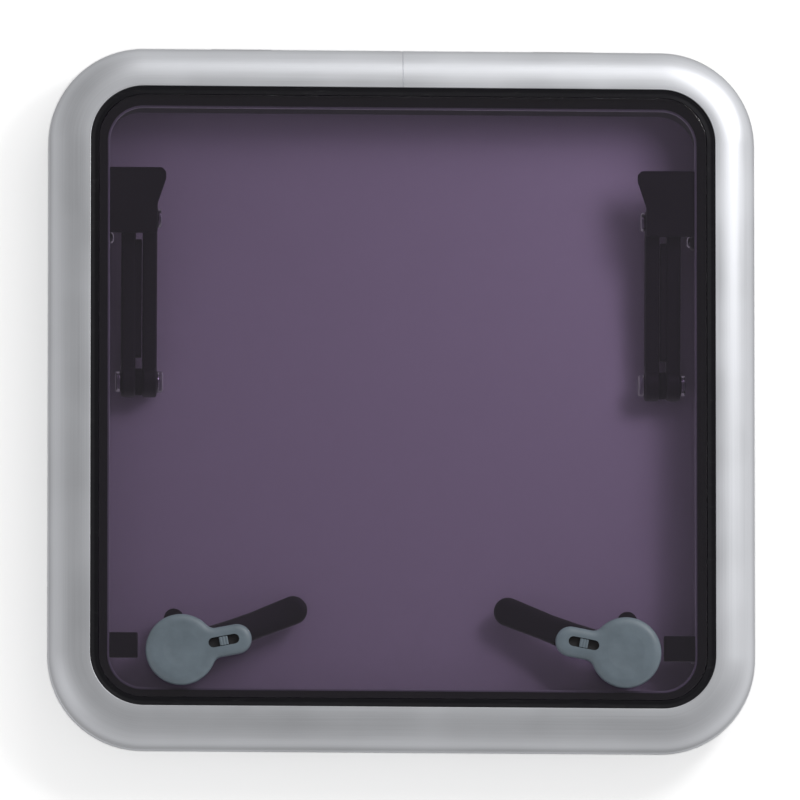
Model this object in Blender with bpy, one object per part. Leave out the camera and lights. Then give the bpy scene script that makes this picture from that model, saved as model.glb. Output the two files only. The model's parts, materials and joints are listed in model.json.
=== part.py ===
"""A low-profile deck hatch, 500 mm square, with a smoked lid, two handles and two folding stays.

The base frame is screwed to the deck and its spigot drops into the cut-out. The lid turns on two
hidden hinges at the rear (+Y), two folding stays hold it open, and two handles near the front
corners turn latch dogs under keepers on the base. +Z points out of the deck, and the origin is the
centre of the spigot's lower edge. Lengths are written in millimetres and made into metres by MM.
"""

import math

import bmesh
import bpy
from mathutils import Matrix, Vector

MM = 0.001
GAP = 0.3                    # kept between pieces that touch on the real hatch
SIDES = {"left": -1, "right": 1}

# Plan: every ring is a rounded square about the same four corner centres
CORNER_CENTRE = 183.0        # from the middle of the hatch, in X and in Y
CORNER_STEPS = 7             # facets in each quarter turn

# Half-widths of the rings, from the middle of the hatch
FLANGE_HALF = 250.0
SPIGOT_HALF = 213.0
SPIGOT_BORE = 209.5
UPSTAND_OUT, UPSTAND_IN = 228.5, 225.5
SKIRT_OUT, SKIRT_IN = 249.4, 247.4
LIP_HALF = 221.0
LEDGE_IN = 207.0
LENS_HALF = 215.0

# Heights above the spigot's lower edge
DECK_Z, FLANGE_TOP, UPSTAND_TOP = 22.0, 25.5, 34.0
SKIRT_BOTTOM, CHANNEL_BOTTOM = 28.0, 33.0
LEDGE_BOTTOM, LEDGE_TOP = 36.5, 39.0
LENS_BOTTOM, LENS_TOP = 40.0, 50.0
CROWN_U, CROWN_Z = 223.0, 50.8      # the lid's crown is a quarter ellipse about CROWN_U
CROWN_FOOT = 34.8            # height where the crown runs into the skirt

# Hinges along the rear edge
HINGE_Y, HINGE_Z = 246.0, 31.0
HINGE_X = 114.0
KNUCKLE_RADIUS, HINGE_PIN_RADIUS = 4.0, 2.0
HINGE_HALF, CENTRE_KNUCKLE_HALF = 20.0, 7.5

# Folding stays: four equal links, so that both arms turn as far as the lid does
LINK = 116.0
STAY_DROP = math.radians(4.5)
STAY_PIVOT_RADIUS = 4.0
LOWER_ARM_X, UPPER_ARM_X = (188.0, 198.0), (172.8, 183.0)
STAY_EAR_X = (183.5, 187.5)
STAY_RIB_X, STAY_RIB_ALONG, STAY_RIB_HALF = (183.6, 188.6), (131.0, 215.0), 4.0
BRACKET_BACK_X, BRACKET_FACE_X = 209.2, 205.9

# Handles, each on an upright spindle through the lens
SPINDLE_X, SPINDLE_Y = 157.0, -182.0
SPINDLE_RADIUS, BUSH_RADIUS = 6.0, 11.0
NECK_ANGLE, LEVER_ANGLE, DOG_ANGLE = 11.0, 23.0, 97.0    # from inboard, turning to the rear
HANDLE_BOTTOM, HANDLE_TOP = 52.0, 60.0
DOG_BOTTOM, DOG_TOP, DOG_REACH = 9.0, 15.6, 35.0
LEVER_BOTTOM, LEVER_TOP = 16.0, 36.2

# Keepers on the side walls of the base
KEEPER_Y, KEEPER_HALF, KEEPER_REACH_X = -174.0, 9.0, 186.0

# Fastenings
SCREW_RADIUS, SCREW_HEAD_RADIUS = 2.0, 4.0
FIXING_U, FIXING_PLACES = 238.0, (-171.0, -57.0, 57.0, 171.0)
FIXING_RADIUS, COUNTERSINK_RADIUS = 2.6, 4.8


# ------------------------------------------------------------------ materials

def material(name, colour, roughness, metallic=0.0, alpha=1.0):
    """A Principled finish."""
    finish = bpy.data.materials.new(name)
    finish.use_nodes = True
    shader = finish.node_tree.nodes["Principled BSDF"]
    shader.inputs["Base Color"].default_value = (*colour, 1.0)
    shader.inputs["Roughness"].default_value = roughness
    shader.inputs["Metallic"].default_value = metallic
    shader.inputs["Alpha"].default_value = alpha
    finish.diffuse_color = (*colour, alpha)
    return finish


def make_materials():
    """The hatch's six finishes, by name."""
    return {
        "anodised": material("anodised_aluminium", (0.62, 0.63, 0.66), 0.38, metallic=1.0),
        "acrylic": material("smoked_acrylic", (0.13, 0.10, 0.15), 0.06, alpha=0.6),
        "rubber": material("black_rubber", (0.012, 0.012, 0.014), 0.62),
        "grey": material("grey_plastic", (0.16, 0.19, 0.21), 0.42),
        "black": material("black_plastic", (0.018, 0.016, 0.02), 0.48),
        "steel": material("stainless_steel", (0.55, 0.55, 0.56), 0.3, metallic=1.0),
    }


# ------------------------------------------------------------------ shapes

def loft(loops, run_round=False):
    """Join equal loops of points in order; cap the two ends unless the last meets the first."""
    shape = bmesh.new()
    rows = [[shape.verts.new(Vector(point) * MM) for point in loop] for loop in loops]
    following = rows[1:] + rows[:1] if run_round else rows[1:]
    for row, after in zip(rows, following):
        for index in range(len(row)):
            other = (index + 1) % len(row)
            shape.faces.new((row[index], row[other], after[other], after[index]))
    if not run_round:
        shape.faces.new(rows[0][::-1])
        shape.faces.new(rows[-1])
    return shape


def arc(centre_a, centre_b, radius, start, end, steps):
    """Points of a circular arc from one angle to another, in degrees."""
    angles = [math.radians(start + (end - start) * step / steps) for step in range(steps + 1)]
    return [(centre_a + radius * math.cos(t), centre_b + radius * math.sin(t)) for t in angles]


def rounded_square(half):
    """The plan of a ring at one half-width: four arcs about the common corner centres."""
    points = []
    for quarter, (side_x, side_y) in enumerate(((1, 1), (-1, 1), (-1, -1), (1, -1))):
        points += arc(
            side_x * CORNER_CENTRE, side_y * CORNER_CENTRE, half - CORNER_CENTRE,
            quarter * 90, quarter * 90 + 90, CORNER_STEPS,
        )
    return points


def ring(section):
    """A section of (half-width, height) points carried round the rounded square."""
    return loft([[(x, y, z) for x, y in rounded_square(half)] for half, z in section], True)


def slab(levels):
    """A rounded-square plate through (half-width, height) levels, closed below and above."""
    return loft([[(x, y, z) for x, y in rounded_square(half)] for half, z in levels])


def turned(profile, centre, axis="Z", sides=12, bored=False):
    """A turned body: (radius, height) points about an axis; a bored one is a closed section."""
    order = {"X": (2, 0, 1), "Z": (0, 1, 2)}[axis]
    loops = []
    for radius, height in profile:
        circle = arc(0, 0, radius, 0, 360, sides)[:-1]
        local = [(a, b, height) for a, b in circle]
        loops.append([tuple(point[k] + centre[i] for i, k in enumerate(order)) for point in local])
    return loft(loops, bored)


def prism_x(outline, start, end):
    """An outline of (y, z) points run along X."""
    return loft([[(x, y, z) for y, z in outline] for x in (start, end)])


def prism_z(outline, bottom, top):
    """An outline of (x, y) points run up Z."""
    return loft([[(x, y, z) for x, y in outline] for z in (bottom, top)])


def box(low, high):
    """A plain block between two corners."""
    outline = ((low[0], low[1]), (high[0], low[1]), (high[0], high[1]), (low[0], high[1]))
    return prism_z(outline, low[2], high[2])


# ------------------------------------------------------------------ objects

def pivot_at(name, point, parent=None):
    """An empty on a joint's axis, which carries the pieces that turn or slide there."""
    empty = bpy.data.objects.new(name, None)
    empty.empty_display_size = 10 * MM
    bpy.context.scene.collection.objects.link(empty)
    empty.location = Vector(point) * MM
    hang(empty, parent)
    return empty


def hang(child, parent):
    """Parent a piece without moving it; every location stays in the hatch's own frame."""
    if parent is not None:
        child.parent = parent
        child.matrix_parent_inverse = Matrix.Translation(-parent.location)


def piece(name, shape, finish, parent=None):
    """One closed body as an object, with its origin on its parent's axis."""
    bmesh.ops.remove_doubles(shape, verts=shape.verts, dist=0.001 * MM)
    bmesh.ops.recalc_face_normals(shape, faces=shape.faces)
    mesh = bpy.data.meshes.new(name)
    shape.to_mesh(mesh)
    shape.free()
    origin = parent.location.copy() if parent else Vector((0, 0, 0))
    mesh.transform(Matrix.Translation(-origin))
    if finish is not None:
        mesh.materials.append(finish)
    mesh.shade_smooth()
    mesh.set_sharp_from_angle(angle=math.radians(35))
    made = bpy.data.objects.new(name, mesh)
    bpy.context.scene.collection.objects.link(made)
    made.location = origin
    hang(made, parent)
    return made


def combine(target, tool_shape, operation, label):
    """Add or take away a hidden tool body."""
    tool = piece(f"{target.name}_{label}", tool_shape, None, target.parent)
    tool.hide_render = True
    tool.display_type = "WIRE"
    step = target.modifiers.new(label, "BOOLEAN")
    step.object = tool
    step.operation = operation
    step.solver = "EXACT"


def bore(target, radius, centre, low, high, label, axis="Z", sides=12):
    """Drill a round hole from one height to another along an axis."""
    combine(target, turned(((radius, low), (radius, high)), centre, axis, sides), "DIFFERENCE", label)


def screw(name, finish, parent, axis_point, axis, direction, seat, length, head_height):
    """A round-headed screw: its head sits on the seat, and its shank runs the given way."""
    tip, top = seat + direction * length, seat - direction * head_height
    profile = (
        (SCREW_RADIUS * 0.7, tip),
        (SCREW_RADIUS, tip - direction * 1.0),
        (SCREW_RADIUS, seat),
        (SCREW_HEAD_RADIUS, seat),
        (SCREW_HEAD_RADIUS, seat - direction * head_height * 0.5),
        (SCREW_HEAD_RADIUS * 0.6, top),
    )
    return piece(name, turned(profile, axis_point, axis, 8), finish, parent)


# ------------------------------------------------------------------ base and lid

def build_base_frame(finishes):
    """The extrusion on the deck: flange, spigot down into the cut-out, and upstand for the seal."""
    section = (
        (SPIGOT_BORE, 0.0), (SPIGOT_HALF, 0.0), (SPIGOT_HALF, DECK_Z),
        (FLANGE_HALF, DECK_Z), (FLANGE_HALF, DECK_Z + 2.2), (FLANGE_HALF - 1.2, FLANGE_TOP),
        (UPSTAND_OUT, FLANGE_TOP), (UPSTAND_OUT, UPSTAND_TOP - 0.8),
        (UPSTAND_OUT - 0.8, UPSTAND_TOP), (UPSTAND_IN + 0.8, UPSTAND_TOP),
        (UPSTAND_IN, UPSTAND_TOP - 0.8), (UPSTAND_IN, FLANGE_TOP),
        (SPIGOT_BORE, FLANGE_TOP),
    )
    frame = piece("base_frame", ring(section), finishes["anodised"])
    sink = FLANGE_TOP - (COUNTERSINK_RADIUS - FIXING_RADIUS)
    hole = (
        (FIXING_RADIUS, DECK_Z - 2), (FIXING_RADIUS, sink),
        (COUNTERSINK_RADIUS, FLANGE_TOP), (COUNTERSINK_RADIUS, FLANGE_TOP + 2),
    )
    places = [(x, side * FIXING_U) for x in FIXING_PLACES for side in (-1, 1)]
    places += [(side * FIXING_U, y) for y in FIXING_PLACES for side in (-1, 1)]
    for number, (x, y) in enumerate(places):
        combine(frame, turned(hole, (x, y, 0), sides=8), "DIFFERENCE", f"fixing_{number}")
    return frame


def crown(inset, angles):
    """(half-width, height) points on the lid's quarter ellipse, at an inset and angles off the top."""
    reach, rise = SKIRT_OUT - CROWN_U - inset, CROWN_Z - CROWN_FOOT - inset
    turns = [math.radians(angle) for angle in angles]
    return [(CROWN_U + reach * math.sin(t), CROWN_FOOT + rise * math.cos(t)) for t in turns]


def lid_section():
    """The lid extrusion: crowned top, skirt, seal channel with lips, and the lens ledge."""
    channel_in, channel_out = LIP_HALF + 2.0, LIP_HALF + 10.0
    lip_low, lip_high, lip = 38.8, 40.3, 2.3
    wall_out = channel_out + 2.0
    wall = SKIRT_OUT - SKIRT_IN
    return [
        (LIP_HALF, CROWN_Z - 2.0), (LIP_HALF + 0.6, CROWN_Z - 0.6),
        *crown(0.0, (0, 13, 26, 39, 52, 65, 78, 90)), (SKIRT_OUT, SKIRT_BOTTOM),
        (SKIRT_IN, SKIRT_BOTTOM), *crown(wall, (90, 75, 60, 45, 32)),
        (wall_out, 47.4), (wall_out, CHANNEL_BOTTOM),
        (channel_out, CHANNEL_BOTTOM), (channel_out, lip_low), (channel_out - lip, lip_low),
        (channel_out - lip, lip_high), (channel_out, lip_high), (channel_out, 47.4),
        (channel_in, 47.4), (channel_in, lip_high), (channel_in + lip, lip_high),
        (channel_in + lip, lip_low), (channel_in, lip_low), (channel_in, CHANNEL_BOTTOM),
        (LIP_HALF, CHANNEL_BOTTOM), (LIP_HALF, LEDGE_BOTTOM), (LEDGE_IN, LEDGE_BOTTOM),
        (LEDGE_IN, LEDGE_TOP), (LIP_HALF, LEDGE_TOP),
    ]


def build_lid(finishes, lid):
    """The lid: frame, splice at the frame's seam, lens, its sealant, and the seal below."""
    frame = piece("lid_frame", ring(lid_section()), finishes["anodised"], lid)
    for name, side in SIDES.items():
        reach = HINGE_HALF + 1.2
        notch = box(
            (side * HINGE_X - reach, SKIRT_IN - 2, SKIRT_BOTTOM - 2),
            (side * HINGE_X + reach, SKIRT_OUT + 2, 36.5),
        )
        combine(frame, notch, "DIFFERENCE", f"hinge_notch_{name}")

    splice = crown(2.5, (28, 45, 60, 75)) + crown(5.0, (75, 60, 45, 32))
    piece("frame_splice", prism_x(splice, -26, 26), finishes["anodised"], lid)

    chamfer = 0.8
    lens = piece(
        "lens",
        slab((
            (LENS_HALF - 0.3, LENS_BOTTOM), (LENS_HALF, LENS_BOTTOM + 0.3),
            (LENS_HALF, LENS_TOP - chamfer), (LENS_HALF - chamfer, LENS_TOP),
        )),
        finishes["acrylic"], lid,
    )
    for name, side in SIDES.items():
        centre = (side * SPINDLE_X, SPINDLE_Y, 0)
        bore(lens, BUSH_RADIUS + GAP, centre, LENS_BOTTOM - 2, LENS_TOP + 2, f"hole_{name}", sides=20)

    joint_in, joint_out = LENS_HALF + GAP, LIP_HALF - GAP
    bed_low, bed_high = LEDGE_TOP + GAP, LENS_BOTTOM - GAP
    sealant = (
        (LEDGE_IN + 1.5, bed_low), (joint_out, bed_low), (joint_out, LENS_TOP - 0.9),
        ((joint_in + joint_out) / 2, LENS_TOP - 1.4), (joint_in, LENS_TOP - 0.9),
        (joint_in, bed_high), (LEDGE_IN + 1.5, bed_high),
    )
    piece("lens_sealant", ring(sealant), finishes["rubber"], lid)

    middle = (UPSTAND_IN + UPSTAND_OUT) / 2
    half_seal = (
        (3.5, 38.1), (3.5, 35.4), (1.9, UPSTAND_TOP + GAP), (-1.9, UPSTAND_TOP + GAP),
        (-3.5, 35.4), (-3.5, 38.1), (-1.3, 38.5), (-1.3, 40.7), (-3.2, 41.0), (-1.8, 42.6),
        (1.8, 42.6), (3.2, 41.0), (1.3, 40.7), (1.3, 38.5),
    )
    seal = ring([(middle + offset, z) for offset, z in half_seal])
    piece("lid_seal", seal, finishes["rubber"], lid)
    return frame


# ------------------------------------------------------------------ hinges

def build_hinge(name, side, finishes, lid):
    """One hidden hinge: a leaf with two knuckles on the base, an arm in the lid, and its pin."""
    middle = side * HINGE_X
    knuckle = arc(HINGE_Y, HINGE_Z, KNUCKLE_RADIUS, -60, 180, 10)
    leaf_low = FLANGE_TOP + GAP
    leaf_outline = [
        (UPSTAND_OUT + 3, leaf_low), (HINGE_Y + 0.5, leaf_low), *knuckle,
        (HINGE_Y - KNUCKLE_RADIUS, leaf_low + 2), (UPSTAND_OUT + 3, leaf_low + 2),
    ]
    leaf = piece(
        f"hinge_base_leaf_{name}",
        prism_x(leaf_outline, middle - HINGE_HALF, middle + HINGE_HALF), finishes["anodised"],
    )
    clear = CENTRE_KNUCKLE_HALF + GAP
    window = box(
        (middle - clear, HINGE_Y - KNUCKLE_RADIUS - 0.8, leaf_low - 2),
        (middle + clear, HINGE_Y + KNUCKLE_RADIUS + 2, HINGE_Z + KNUCKLE_RADIUS + 2),
    )
    combine(leaf, window, "DIFFERENCE", "middle_gap")

    lid_arm = [
        (233.6, 40.0), (240.2, 36.4), *arc(HINGE_Y, HINGE_Z, KNUCKLE_RADIUS, 160, 410, 12),
        (245.3, 36.2), *crown(2.5, (75, 60, 45, 28)),
    ]
    arm = piece(
        f"hinge_lid_arm_{name}",
        prism_x(lid_arm, middle - CENTRE_KNUCKLE_HALF, middle + CENTRE_KNUCKLE_HALF),
        finishes["anodised"], lid,
    )
    reach = HINGE_HALF + 2
    for holder in (leaf, arm):
        bore(
            holder, HINGE_PIN_RADIUS + GAP, (middle, HINGE_Y, HINGE_Z), -reach, reach, "pin", "X",
        )
    pin = turned(
        ((HINGE_PIN_RADIUS - 0.4, -20.4), (HINGE_PIN_RADIUS, -20.0),
         (HINGE_PIN_RADIUS, 20.0), (HINGE_PIN_RADIUS - 0.4, 20.4)),
        (middle, HINGE_Y, HINGE_Z), "X",
    )
    piece(f"hinge_pin_{name}", pin, finishes["steel"])


# ------------------------------------------------------------------ stays

def stay_point(along, up=0.0):
    """A (y, z) point measured forwards from the hinge axis, down the stays' slight slope."""
    slope_y, slope_z = math.cos(STAY_DROP), math.sin(STAY_DROP)
    return HINGE_Y - along * slope_y - up * slope_z, HINGE_Z - along * slope_z + up * slope_y


def arm_outline(near, near_radius, far, far_radius, half_height):
    """A flat arm from one round eye to another, as (y, z) points."""
    near_angle = math.degrees(math.asin(half_height / near_radius))
    far_angle = math.degrees(math.asin(half_height / far_radius))
    eye = arc(near, 0, near_radius, near_angle, 360 - near_angle, 12)
    elbow = arc(far, 0, far_radius, far_angle - 180, 180 - far_angle, 12)
    return [stay_point(along, up) for along, up in eye + elbow]


def across(side, low, high):
    """An (x, x) span on one side of the hatch, from distances off its middle."""
    return side * low, side * high


def build_stay(name, side, finishes, lid, lower, upper, frames):
    """One folding stay: base bracket, two arms with a friction elbow, and lid bracket."""
    base_frame, lid_frame = frames
    black, steel = finishes["black"], finishes["steel"]
    pivot_y, pivot_z = stay_point(LINK)
    elbow_y, elbow_z = stay_point(2 * LINK)
    pivot, elbow = (0, pivot_y, pivot_z), (0, elbow_y, elbow_z)
    hole = STAY_PIVOT_RADIUS + GAP

    plate = [
        (pivot_y - 18, 5), (pivot_y + 18, 5), (pivot_y + 18, 17),
        *arc(pivot_y, pivot_z, 9, 0, 180, 8), (pivot_y - 18, 17),
    ]
    bracket = piece(
        f"stay_base_bracket_{name}",
        prism_x(plate, *across(side, BRACKET_FACE_X, BRACKET_BACK_X)), black,
    )
    boss = ((9, side * (LOWER_ARM_X[1] + 0.8)), (9, side * (BRACKET_FACE_X + 1)))
    combine(bracket, turned(boss, pivot, "X", 16), "UNION", "boss")
    bore(bracket, hole, pivot, side * 190, side * 212, "pivot", "X")
    for number, offset in enumerate((-12.5, 12.5)):
        centre = (0, pivot_y + offset, 11)
        for holder in (bracket, base_frame):
            bore(
                holder, SCREW_RADIUS + GAP, centre, side * 200, side * 216,
                f"stay_screw_{name}_{number}", "X", 8,
            )
        screw(
            f"stay_base_screw_{name}_{number + 1}", steel, None, centre, "X", side,
            side * (BRACKET_FACE_X - GAP), 6.8, 2.4,
        )
    pin = (
        (STAY_PIVOT_RADIUS, side * (LOWER_ARM_X[0] + GAP)),
        (STAY_PIVOT_RADIUS, side * (BRACKET_BACK_X - GAP)),
    )
    piece(f"stay_base_pin_{name}", turned(pin, pivot, "X"), steel)

    arms = (
        ("lower", LOWER_ARM_X, lower, 11.0), ("upper", UPPER_ARM_X, upper, 11.0),
    )
    for label, span, body, elbow_radius in arms:
        outline = arm_outline(LINK, 8.0, 2 * LINK, elbow_radius, 5.5)
        arm = piece(f"stay_{label}_arm_{name}", prism_x(outline, *across(side, *span)), black, body)
        reach = [side * (span[0] - 3), side * (span[1] + 3)]
        bore(arm, hole, pivot, *reach, "pivot", "X")
        bore(arm, hole, elbow, *reach, "elbow", "X")
        if label == "lower":
            near, far = STAY_RIB_ALONG
            rib = [
                stay_point(near, -STAY_RIB_HALF), stay_point(near, STAY_RIB_HALF),
                stay_point(far, STAY_RIB_HALF), stay_point(far, -STAY_RIB_HALF),
            ]
            combine(arm, prism_x(rib, *across(side, *STAY_RIB_X)), "UNION", "rib")

    bolt = (
        (6.0, side * 201.6), (7.0, side * 200.8), (7.0, side * (LOWER_ARM_X[1] + GAP)),
        (STAY_PIVOT_RADIUS, side * (LOWER_ARM_X[1] + GAP)), (STAY_PIVOT_RADIUS, side * 170.0),
    )
    piece(f"stay_elbow_bolt_{name}", turned(bolt, elbow, "X"), steel, lower)
    disc = (
        (hole, side * (UPPER_ARM_X[1] + GAP)), (9.5, side * (UPPER_ARM_X[1] + GAP)),
        (9.5, side * (LOWER_ARM_X[0] - GAP)), (hole, side * (LOWER_ARM_X[0] - GAP)),
    )
    piece(
        f"stay_friction_disc_{name}", turned(disc, elbow, "X", 16, True), finishes["rubber"], lower,
    )
    nut = (
        (hole, side * 168.6), (6.2, side * 168.6), (7.4, side * 169.6),
        (7.4, side * (UPPER_ARM_X[0] - GAP)), (hole, side * (UPPER_ARM_X[0] - GAP)),
    )
    piece(f"stay_elbow_nut_{name}", turned(nut, elbow, "X", 12, True), steel, lower)

    plan = (
        (216, 165), (170, 165), (167, 162), (167, 157), (173, 139), (173, 118), (216, 118),
    )
    holder = piece(
        f"stay_lid_bracket_{name}",
        prism_z([(side * x, y) for x, y in plan], LEDGE_BOTTOM - 3.3, LEDGE_BOTTOM - GAP),
        black, lid,
    )
    ear = [*arc(pivot_y, pivot_z, 8, 180, 360, 10), (pivot_y + 8, 34.5), (pivot_y - 8, 34.5)]
    combine(holder, prism_x(ear, *across(side, *STAY_EAR_X)), "UNION", "ear")
    bore(holder, hole, pivot, side * 180, side * 191, "pivot", "X")
    for number, y in enumerate((125.0, 157.0)):
        centre = (side * 212, y, 0)
        for drilled in (holder, lid_frame):
            bore(
                drilled, SCREW_RADIUS + GAP, centre, 31, LEDGE_TOP + 1.5,
                f"lid_screw_{name}_{number}", sides=8,
            )
        screw(
            f"stay_lid_screw_{name}_{number + 1}", steel, lid, centre, "Z", 1,
            LEDGE_BOTTOM - 3.3 - GAP, 5.6, 2.0,
        )
    pin = (
        (5.4, side * 170.0), (6.5, side * 170.8), (6.5, side * (UPPER_ARM_X[0] - GAP)),
        (STAY_PIVOT_RADIUS, side * (UPPER_ARM_X[0] - GAP)),
        (STAY_PIVOT_RADIUS, side * (STAY_EAR_X[1] - GAP)),
    )
    piece(f"stay_lid_pin_{name}", turned(pin, pivot, "X"), steel, lid)


# ------------------------------------------------------------------ handles

def handle_point(side, along, offset, angle):
    """A plan point measured from a spindle: along a direction, and square to it."""
    turn = math.radians(angle)
    inboard = along * math.cos(turn) - offset * math.sin(turn)
    rearward = along * math.sin(turn) + offset * math.cos(turn)
    return side * (SPINDLE_X - inboard), SPINDLE_Y + rearward


def handle_outline(inset):
    """A round palm with a neck, parallel to its own edge at the given inset."""
    palm, end, end_at, root = 25.0 - inset, 10.0 - inset, 40.0, 12.0 - inset
    angle = math.degrees(math.asin(root / palm))
    return arc(0, 0, palm, angle, 360 - angle, 24) + arc(end_at, 0, end, -90, 90, 8)


def build_outside_handle(name, side, finishes, handle, lock):
    """The grey handle on top of the lens, with the lock slide in a recess along its neck."""
    rise = HANDLE_TOP - HANDLE_BOTTOM
    levels = ((0.8, 0.0), (0.0, 0.8), (0.0, 0.5 * rise), (0.9, 0.78 * rise), (3.4, 0.95 * rise),
              (7.0, rise))
    loops = []
    for inset, height in levels:
        plan = [handle_point(side, a, b, NECK_ANGLE) for a, b in handle_outline(inset)]
        loops.append([(x, y, HANDLE_BOTTOM + height) for x, y in plan])
    body = piece(f"outside_handle_{name}", loft(loops), finishes["grey"], handle)
    centre = (side * SPINDLE_X, SPINDLE_Y, 0)
    bore(body, SPINDLE_RADIUS + GAP, centre, HANDLE_BOTTOM - 2, 57.3, "socket", sides=16)
    recess_floor, recess_half = 56.2, 3.5
    recess = arc(38.0, 0, recess_half, -90, 90, 6) + arc(23.0, 0, recess_half, 90, 270, 6)
    plan = [handle_point(side, a, b, NECK_ANGLE) for a, b in recess]
    combine(body, prism_z(plan, recess_floor, HANDLE_TOP + 2), "DIFFERENCE", "lock_recess")

    slide_half, slide_width = 3.0, recess_half - GAP - 0.1
    corners = ((-slide_half, -slide_width), (slide_half, -slide_width),
               (slide_half, slide_width), (-slide_half, slide_width))
    loops = []
    for shrink, z in ((1.0, recess_floor + GAP), (1.0, 59.4), (0.75, HANDLE_TOP)):
        plan = [handle_point(side, 30.5 + a * shrink, b * shrink, NECK_ANGLE) for a, b in corners]
        loops.append([(x, y, z) for x, y in plan])
    piece(f"lock_slide_{name}", loft(loops), finishes["grey"], lock)


def build_inside_lever(name, side, finishes, handle):
    """The black lever inside: a hub under the lens and a flat grip that dips away from it."""
    centre = (side * SPINDLE_X, SPINDLE_Y, 0)
    hub = ((17.0, LEVER_BOTTOM), (18.5, LEVER_BOTTOM + 1.5), (19.5, LEVER_TOP - 2),
           (18.5, LEVER_TOP))
    lever = piece(f"inside_lever_{name}", turned(hub, centre, sides=20), finishes["black"], handle)
    stations = (
        # distance from the spindle, half-width, lowest and highest point
        (4, 12.5, 18.5, 33.5), (22, 11.6, 18.0, 32.0), (40, 10.2, 15.6, 27.0),
        (58, 9.6, 12.4, 22.4), (76, 10.0, 9.8, 18.6), (88, 10.2, 8.6, 16.6),
        (94.5, 8.4, 8.6, 15.6), (98, 4.6, 9.4, 14.4),
    )
    loops = []
    for along, half, low, high in stations:
        middle, tall = (low + high) / 2, (high - low) / 2
        loop = []
        for step in range(12):
            turn = math.radians(30 * step + 15)
            wide, deep = math.cos(turn), math.sin(turn)
            wide = math.copysign(abs(wide) ** 0.7, wide)
            deep = math.copysign(abs(deep) ** 0.7, deep)
            x, y = handle_point(side, along, half * wide, LEVER_ANGLE)
            loop.append((x, y, middle + tall * deep))
        loops.append(loop)
    combine(lever, loft(loops), "UNION", "grip")
    bore(lever, SPINDLE_RADIUS + GAP, centre, LEVER_BOTTOM - 3, LEVER_TOP + 3, "spindle", sides=16)


def build_handle(name, side, finishes, lid, handle, lock, base_frame):
    """One latch: handle, spindle, lever, dog and screw, its bush in the lens, and its keeper."""
    centre = (side * SPINDLE_X, SPINDLE_Y, 0)
    fit = SPINDLE_RADIUS + GAP
    build_outside_handle(name, side, finishes, handle, lock)
    build_inside_lever(name, side, finishes, handle)

    bush = (
        (fit, 36.5), (BUSH_RADIUS, 36.5), (BUSH_RADIUS, LENS_TOP + GAP), (21.0, LENS_TOP + GAP),
        (21.0, 51.2), (20.4, HANDLE_BOTTOM - GAP), (fit, HANDLE_BOTTOM - GAP),
    )
    piece(f"lens_bush_{name}", turned(bush, centre, sides=20, bored=True), finishes["black"], lid)
    nut = ((BUSH_RADIUS + GAP, 37.2), (17.2, 37.2), (18.0, 38.0), (18.0, LENS_BOTTOM - GAP),
           (BUSH_RADIUS + GAP, LENS_BOTTOM - GAP))
    piece(f"bush_nut_{name}", turned(nut, centre, sides=20, bored=True), finishes["black"], lid)

    spindle = ((2.8, 22.0), (2.8, DOG_BOTTOM), (SPINDLE_RADIUS, DOG_BOTTOM),
               (SPINDLE_RADIUS, 57.0))
    piece(f"spindle_{name}", turned(spindle, centre, sides=16), finishes["steel"], handle)
    bolt = ((2.0, 20.0), (2.5, 19.0), (2.5, DOG_BOTTOM - GAP), (6.0, DOG_BOTTOM - GAP),
            (6.0, 7.0), (4.6, 5.6))
    piece(f"handle_screw_{name}", turned(bolt, centre), finishes["steel"], handle)

    finger = 7.0
    angle = math.degrees(math.asin(finger / 12.5))
    outline = arc(0, 0, 12.5, angle, 360 - angle, 16)
    outline += arc(DOG_REACH - finger, 0, finger, -90, 90, 8)
    plan = [handle_point(side, a, b, DOG_ANGLE) for a, b in outline]
    dog = piece(
        f"latch_dog_{name}", prism_z(plan, DOG_BOTTOM, DOG_TOP), finishes["black"], handle,
    )
    bore(dog, fit, centre, DOG_BOTTOM - 2, DOG_TOP + 2, "spindle", sides=16)

    catch = (
        (BRACKET_BACK_X, 4.0), (BRACKET_BACK_X, 20.4), (KEEPER_REACH_X + 1.5, 20.4),
        (KEEPER_REACH_X, 19.2), (KEEPER_REACH_X, 17.4), (KEEPER_REACH_X + 1.5, 16.3),
        (204.0, 16.3), (BRACKET_FACE_X, 14.4), (BRACKET_FACE_X, 4.0),
    )
    span = (KEEPER_Y - KEEPER_HALF, KEEPER_Y + KEEPER_HALF)
    keeper = piece(
        f"keeper_{name}", loft([[(side * x, y, z) for x, z in catch] for y in span]),
        finishes["black"],
    )
    place = (0, KEEPER_Y, 9.5)
    for holder in (keeper, base_frame):
        bore(holder, SCREW_RADIUS + GAP, place, side * 200, side * 216, f"keeper_screw_{name}", "X", 8)
    screw(
        f"keeper_screw_{name}", finishes["steel"], None, place, "X", side,
        side * (BRACKET_FACE_X - GAP), 6.8, 2.4,
    )


def clear_scene():
    """Start from an empty scene."""
    for old in list(bpy.data.objects):
        bpy.data.objects.remove(old, do_unlink=True)


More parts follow.
